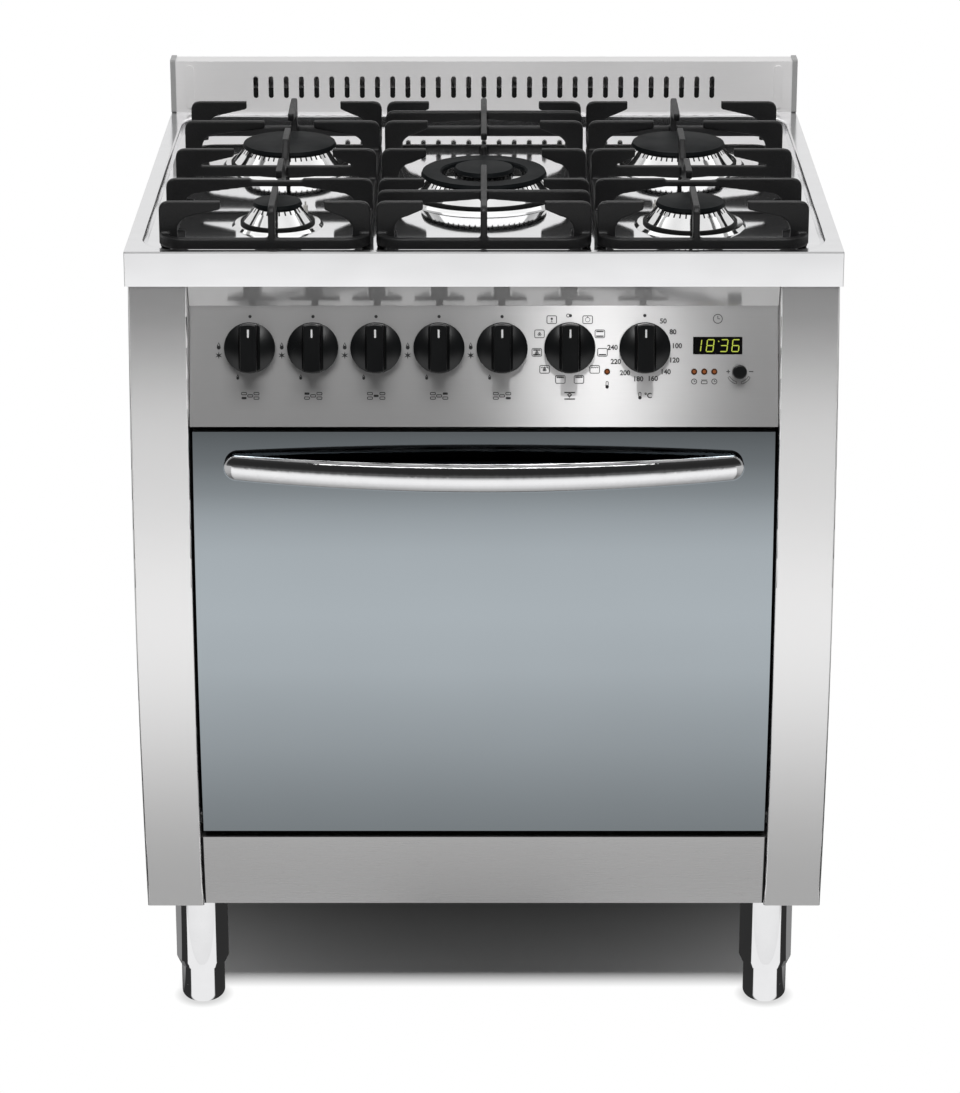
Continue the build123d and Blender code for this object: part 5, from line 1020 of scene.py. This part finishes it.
def flame(ink, x, down, height):
    """Flame: an open tip over a filled round base."""
    base = 0.28 * height
    low = down + height / 2 - base
    ink.dot(x, low, base)
    half, shoulder = 0.75 * base, low - 0.6 * base
    ink.stroke([(x - half, shoulder), (x, down - height / 2), (x + half, shoulder)])


def spark(ink, x, down, size):
    """Six-pointed spark."""
    reaches = (size / 2, size / 6)
    ink.prism([turned(x, down, reaches[i % 2], 30.0 * i) for i in range(12)])


def burner_sign(ink, x, down, lit):
    """Five small boxes like the burners, with one filled."""
    across, along = BURNER_SIGN_STEP
    for name, (side, row) in BURNER_PLACES.items():
        outline = rounded_box(x + side * across, down - row * along, *BURNER_SIGN_BOX)
        if name == lit:
            ink.prism(outline)
        else:
            ink.stroke(outline, FINE_LINE, closed=True)


def thermometer(ink, x, down, height):
    """Bulb with an open stem."""
    bulb = 0.24 * height
    low = down + height / 2 - bulb
    ink.dot(x, low, bulb)
    stem = rounded_box(x, down - 0.12 * height, 0.3 * height, 0.7 * height, 0.14 * height)
    ink.stroke(stem, FINE_LINE, closed=True)


def clock(ink, x, down, radius):
    """Clock face with two hands."""
    ink.ring(x, down, radius, CLOCK_LINE)
    ink.stroke([(x, down - 0.65 * radius), (x, down), (x + 0.5 * radius, down)], CLOCK_LINE)


def fan_sign(ink, x, down, size):
    """Three-bladed fan."""
    for i in range(3):
        middle = turned(x, down, 0.55 * size, 120.0 * i)
        ink.ring(*middle, 0.42 * size, count=12)


def function_sign(ink, x, down, kind):
    """Boxed pictogram of one oven function."""
    width, height, corner = FUNCTION_BOX
    ink.stroke(rounded_box(x, down, width, height, corner), FINE_LINE, closed=True)
    top, low = down - 0.30 * height, down + 0.30 * height
    half = 0.38 * width
    if "top" in kind:
        ink.bar(x, top, half, SIGN_BAR)
    if "bottom" in kind:
        ink.bar(x, low, half, SIGN_BAR)
    if "grill" in kind:
        teeth = [(x + half * (i / 4 - 1.0), top + (0.9 if i % 2 else 0.0)) for i in range(9)]
        ink.stroke(teeth, FINE_LINE)
    if "fan" in kind:
        fan_sign(ink, x, down + 0.04 * height, 1.7)
    if "ring" in kind:
        ink.ring(x, down, 2.2, THIN_LINE, count=18)
        ink.dot(x, down - 2.6, 0.6, count=10)
    if "light" in kind:
        ink.dot(x, down - 0.9, 1.2, count=12)
        ink.stroke([(x, down), (x, down + 2.4)], THIN_LINE)
        ink.bar(x, down + 2.3, 1.2, THIN_LINE)


def gas_marks(ink):
    """Off dot, flames, spark and burner sign round each gas knob."""
    for name in GAS_KNOBS:
        x = joint_x(f"tap_turn_{name}")
        ink.dot(x, *GAS_DOT, count=18)
        flame(ink, x - GAS_SIGN_ASIDE, *LARGE_FLAME)
        spark(ink, x - GAS_SIGN_ASIDE, *SPARK)
        flame(ink, x - SMALL_FLAME_ASIDE, *SMALL_FLAME)
        burner_sign(ink, x, BURNER_SIGN_DOWN, name)


def function_marks(ink):
    """Ten boxed signs round the function knob, and a sign below it."""
    x = joint_x("function_turn")
    hollow, filled = FUNCTION_DOTS
    ink.dot(x + filled, OFF_DOT_DOWN, FUNCTION_DOT_RADIUS)
    ink.ring(x + hollow, OFF_DOT_DOWN, FUNCTION_DOT_RADIUS, count=16)
    for i, kind in enumerate(FUNCTIONS):
        place = turned(x, KNOB_DOWN, FUNCTION_RADIUS, 360.0 * (i + 1) / FUNCTION_STEPS)
        function_sign(ink, *place, kind)
    half, apart = LOW_SIGN_BAR
    for side in (-1, 1):
        ink.bar(x, LOW_SIGN_DOWN + side * apart, half, SIGN_BAR)
    half, drop = LOW_SIGN_ARROW
    high, low = LOW_SIGN_DOWN - drop, LOW_SIGN_DOWN + drop
    ink.stroke([(x - half, high), (x, low), (x + half, high)])
    ink.ring(x, *LOW_SIGN_RING, count=12)


def thermostat_marks(ink):
    """Numbers round the thermostat knob and the signs below it."""
    x = joint_x("thermostat_turn")
    ink.dot(x, OFF_DOT_DOWN, THERMOSTAT_DOT_RADIUS, count=18)
    for i, number in enumerate(TEMPERATURES):
        place = turned(x, KNOB_DOWN, TEMPERATURE_RADIUS, TEMPERATURE_FIRST + TEMPERATURE_STEP * i)
        ink.words(str(number), *place, NUMBER_SIZE)
    thermometer(ink, x + THERMOMETER_ASIDE, LOW_SIGN_DOWN, THERMOMETER_HEIGHT)
    ink.words("\u00b0C", x + DEGREES_ASIDE, LOW_SIGN_DOWN, NUMBER_SIZE)
    thermometer(ink, OVEN_LAMP_X, OVEN_SIGN_DOWN, THERMOMETER_HEIGHT)


def programmer_marks(ink):
    """Clock, lamp signs, plus and minus, and two curved arrows of the programmer."""
    clock(ink, DISPLAY_MIDDLE[0], *PROGRAMMER_CLOCK)
    first, middle, last = PROGRAMMER_LAMPS_X
    for lamp in (first, last):
        clock(ink, lamp, *LAMP_CLOCK)
    ink.stroke(rounded_box(middle, *LAMP_POT), FINE_LINE, closed=True)
    ink.bar(middle, *LAMP_POT_LID, THIN_LINE)
    knob = joint_x("programmer_turn")
    plus = knob + PLUS_ASIDE
    ink.bar(plus, LAMP_DOWN, PLUS_HALF)
    ink.stroke([(plus, LAMP_DOWN - PLUS_HALF), (plus, LAMP_DOWN + PLUS_HALF)])
    ink.bar(knob + MINUS_ASIDE, LAMP_DOWN, MINUS_HALF)
    outer, inner = ARROW_RADII
    for side in (-1, 1):
        near, far = (180.0 - side * turn for turn in ARROW_TURNS)
        out = circle(knob, LAMP_DOWN, outer, near, far, ARROW_STEPS)
        back = circle(knob, LAMP_DOWN, inner, far, near, ARROW_STEPS)
        ink.stroke(out + back, THIN_LINE, closed=True)


def add_marks():
    """Printed signs on the control panel."""
    ink = Ink(INK_LIFT)
    gas_marks(ink)
    function_marks(ink)
    thermostat_marks(ink)
    programmer_marks(ink)
    ink.piece("panel_marks", "chassis", INK)


def digit(ink, char, x, down):
    """One slanted seven-segment digit."""
    width, height = DIGIT_SIZE
    for name in DIGIT_SEGMENTS[char]:
        (ax, ay), (bx, by) = SEGMENTS[name]
        start = Vector(((ax - 0.5) * width, (ay - 1.0) * height / 2))
        end = Vector(((bx - 0.5) * width, (by - 1.0) * height / 2))
        along = (end - start).normalized()
        side = Vector((-along.y, along.x)) * DIGIT_STROKE / 2
        gap = along * DIGIT_STROKE * DIGIT_GAP
        bevel = along * DIGIT_STROKE * DIGIT_BEVEL
        a, b = start + gap, end - gap
        outline = [a - bevel, a + side, b + side, b + bevel, b - side, a - side]
        ink.prism([(x + p.x - DIGIT_SLANT * p.y, down + p.y) for p in outline])


def add_display():
    """Dark window with lit digits."""
    x, down = DISPLAY_MIDDLE
    window = Ink(DISPLAY_LIFT)
    window.prism(rounded_box(x, down, *DISPLAY_SIZE, DISPLAY_CORNER))
    window.piece("display_window", "chassis", DISPLAY_DARK)
    lit = Ink(DIGIT_LIFT)
    for char, dx in DIGITS:
        digit(lit, char, x + dx, down)
    dx, dd, radius = DIGIT_DOT
    lit.dot(x + dx, down + dd, radius, count=12)
    lit.piece("display_digits", "chassis", DIGIT_GLOW)


def add_lens_rims():
    """Painted shade: a darker brown ring at the edge of each lamp lens."""
    shade_rings = Ink(LENS_EDGE_SHADE_LIFT)
    radius, width = LENS_EDGE_SHADE
    for x in (OVEN_LAMP_X, *PROGRAMMER_LAMPS_X):
        shade_rings.ring(x, LAMP_DOWN, radius, width)
    shade_rings.piece("lens_edge_shade", "chassis", LENS_SHADE_BROWN)


def add_pointers():
    """White line on the grip of each large knob."""
    knobs = {f"tap_turn_{name}": f"gas_knob_{name}" for name in GAS_KNOBS}
    knobs["function_turn"] = "function_knob"
    knobs["thermostat_turn"] = "thermostat_knob"
    near, far = POINTER_REACH
    middle = KNOB_DOWN - (near + far) / 2
    for joint, body in knobs.items():
        line = Ink(POINTER_LIFT)
        line.prism(rounded_box(joint_x(joint), middle, POINTER_WIDTH, far - near, POINTER_CORNER))
        line.piece(f"pointer_{body}", body, POINTER_WHITE)


def burner_middle(name):
    """Middle of a burner in plan."""
    side, row = BURNER_PLACES[name]
    hob = middle_of("pan_support_centre")
    return Vector((hob.x + side * BURNER_ACROSS, hob.y + row * BURNER_ALONG, 0.0))


def spun(turn, reach, level):
    """Point at a turn in degrees about the vertical, at a distance and a height."""
    angle = math.radians(turn)
    return Vector((reach * math.cos(angle), reach * math.sin(angle), level))


def add_strip(shape, rows, inner, outer):
    """Closed strip up a curved front, through rows of depth and height."""
    rings = []
    for y, z in rows:
        front, back = y - SEAM_LIFT, y + SEAM_SINK
        places = ((inner, front), (outer, front), (outer, back), (inner, back))
        rings.append([shape.verts.new((x, depth, z)) for x, depth in places])
    join_rings(shape, rings)


def add_plinth_seams():
    """Painted shade: a dark strip for the shadow in the gap between the plinth and each column, along the plinth's
    curved front.
    """
    mesh = nodes["plinth_panel"].data
    corners = [vertex.co for vertex in mesh.vertices]
    skin = BVHTree.FromPolygons(corners, [face.vertices for face in mesh.polygons])
    half = max(corner.x for corner in corners)
    low, high = SEAM_HEIGHT
    shape = bmesh.new()
    for side in (-1, 1):
        inner = side * (half - SEAM_WIDTH)
        rows = []
        for i in range(SEAM_STEPS + 1):
            z = low + (high - low) * i / SEAM_STEPS
            start = Vector((inner, SEAM_RAY_START, z))
            hit = skin.ray_cast(start, Vector((0.0, 1.0, 0.0)))[0]
            rows.append((hit.y, z))
        add_strip(shape, rows, inner, side * half)
    add_piece(shape, "plinth_gap_shade", "chassis", PAINTED_SHADE_BLACK)


def add_vent_liner():
    """Painted shade: a dark sheet behind the lower part of the vent slots."""
    shape = bmesh.new()
    front, back = VENT_SHADE_DEPTH
    outline = [(-VENT_SHADE_HALF, front), (VENT_SHADE_HALF, front), (VENT_SHADE_HALF, back), (-VENT_SHADE_HALF, back)]
    low, high = ([(x, y, z) for x, y in outline] for z in VENT_SHADE_HEIGHT)
    add_prism(shape, low, high)
    add_piece(shape, "vent_shade", "chassis", PAINTED_SHADE_BLACK)


def add_flame_ports():
    """Painted shade of the flame ports just under each cap: a dark plate in every cut of the crown and one
    between.
    """
    shape = bmesh.new()
    under_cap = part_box("burner_caps")[0][2]
    slope = (CROWN_FLARE + CROWN_RIM) / (CROWN_HEIGHT - CROWN_RIM)
    for name, cap in BURNER_CAPS.items():
        middle = burner_middle(name)
        neck = cap - CROWN_RIM
        count = 2 * int(2 * math.pi * neck / PORT_PITCH)
        for i in range(count):
            turn = 360.0 * (i + 1) / count
            across = spun(turn + 90.0, PORT_WIDTH / 2, 0.0)
            outlines = []
            for lift in PORT_LIFT:
                top = middle + spun(turn, neck + lift, under_cap)
                foot = middle + spun(turn, neck + lift + slope * PORT_HEIGHT, under_cap - PORT_HEIGHT)
                outlines.append([top - across, top + across, foot + across, foot - across])
            add_prism(shape, *outlines)
    add_piece(shape, "flame_port_shade", "chassis", PAINTED_SHADE_BLACK)


def add_seat_rings():
    """Painted shade: a dark ring round the foot of each crown, open at its spark electrode."""
    shape = bmesh.new()
    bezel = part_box("burner_caps")[0][2] - CROWN_HEIGHT
    for name, cap in BURNER_CAPS.items():
        middle = burner_middle(name)
        near, far = (cap + CROWN_FLARE + reach for reach in CROWN_FOOT_SHADE)
        top = bezel + CROWN_FOOT_SHADE_HEIGHT
        edge = [(far - CROWN_FOOT_SHADE_BEVEL, top), (far, top - CROWN_FOOT_SHADE_BEVEL)]
        profile = [(near, bezel), (near, top), *edge, (far, bezel)]
        on_right = BURNER_PLACES[name][0] > 0
        electrode = 180.0 - ELECTRODE_TURN if on_right else ELECTRODE_TURN
        rings = []
        for i in range(CROWN_FOOT_SHADE_STEPS + 1):
            turn = electrode + CROWN_FOOT_SHADE_GAP + (360.0 - 2 * CROWN_FOOT_SHADE_GAP) * i / CROWN_FOOT_SHADE_STEPS
            rings.append([shape.verts.new(middle + spun(turn, reach, level)) for reach, level in profile])
        join_rings(shape, rings)
    add_piece(shape, "crown_foot_shade", "chassis", PAINTED_SHADE_BLACK)


def round_castings():
    """Rounds the edges of the cast pan supports."""
    for side in ("left", "centre", "right"):
        obj = nodes[f"pan_support_{side}"]
        remesh = obj.modifiers.new("cast_skin", "REMESH")
        remesh.mode = "VOXEL"
        remesh.voxel_size = CAST_VOXEL
        remesh.use_smooth_shade = True
        smooth = obj.modifiers.new("cast_edges", "SMOOTH")
        smooth.factor = CAST_SMOOTH_SHARE
        smooth.iterations = CAST_SMOOTHING


add_camera()
add_world()
add_floor()
add_lights()
dress_nodes()
round_castings()
add_marks()
add_display()
add_lens_rims()
add_pointers()
add_flame_ports()
add_seat_rings()
add_plinth_seams()
add_vent_liner()
scene.view_settings.view_transform = "Standard"
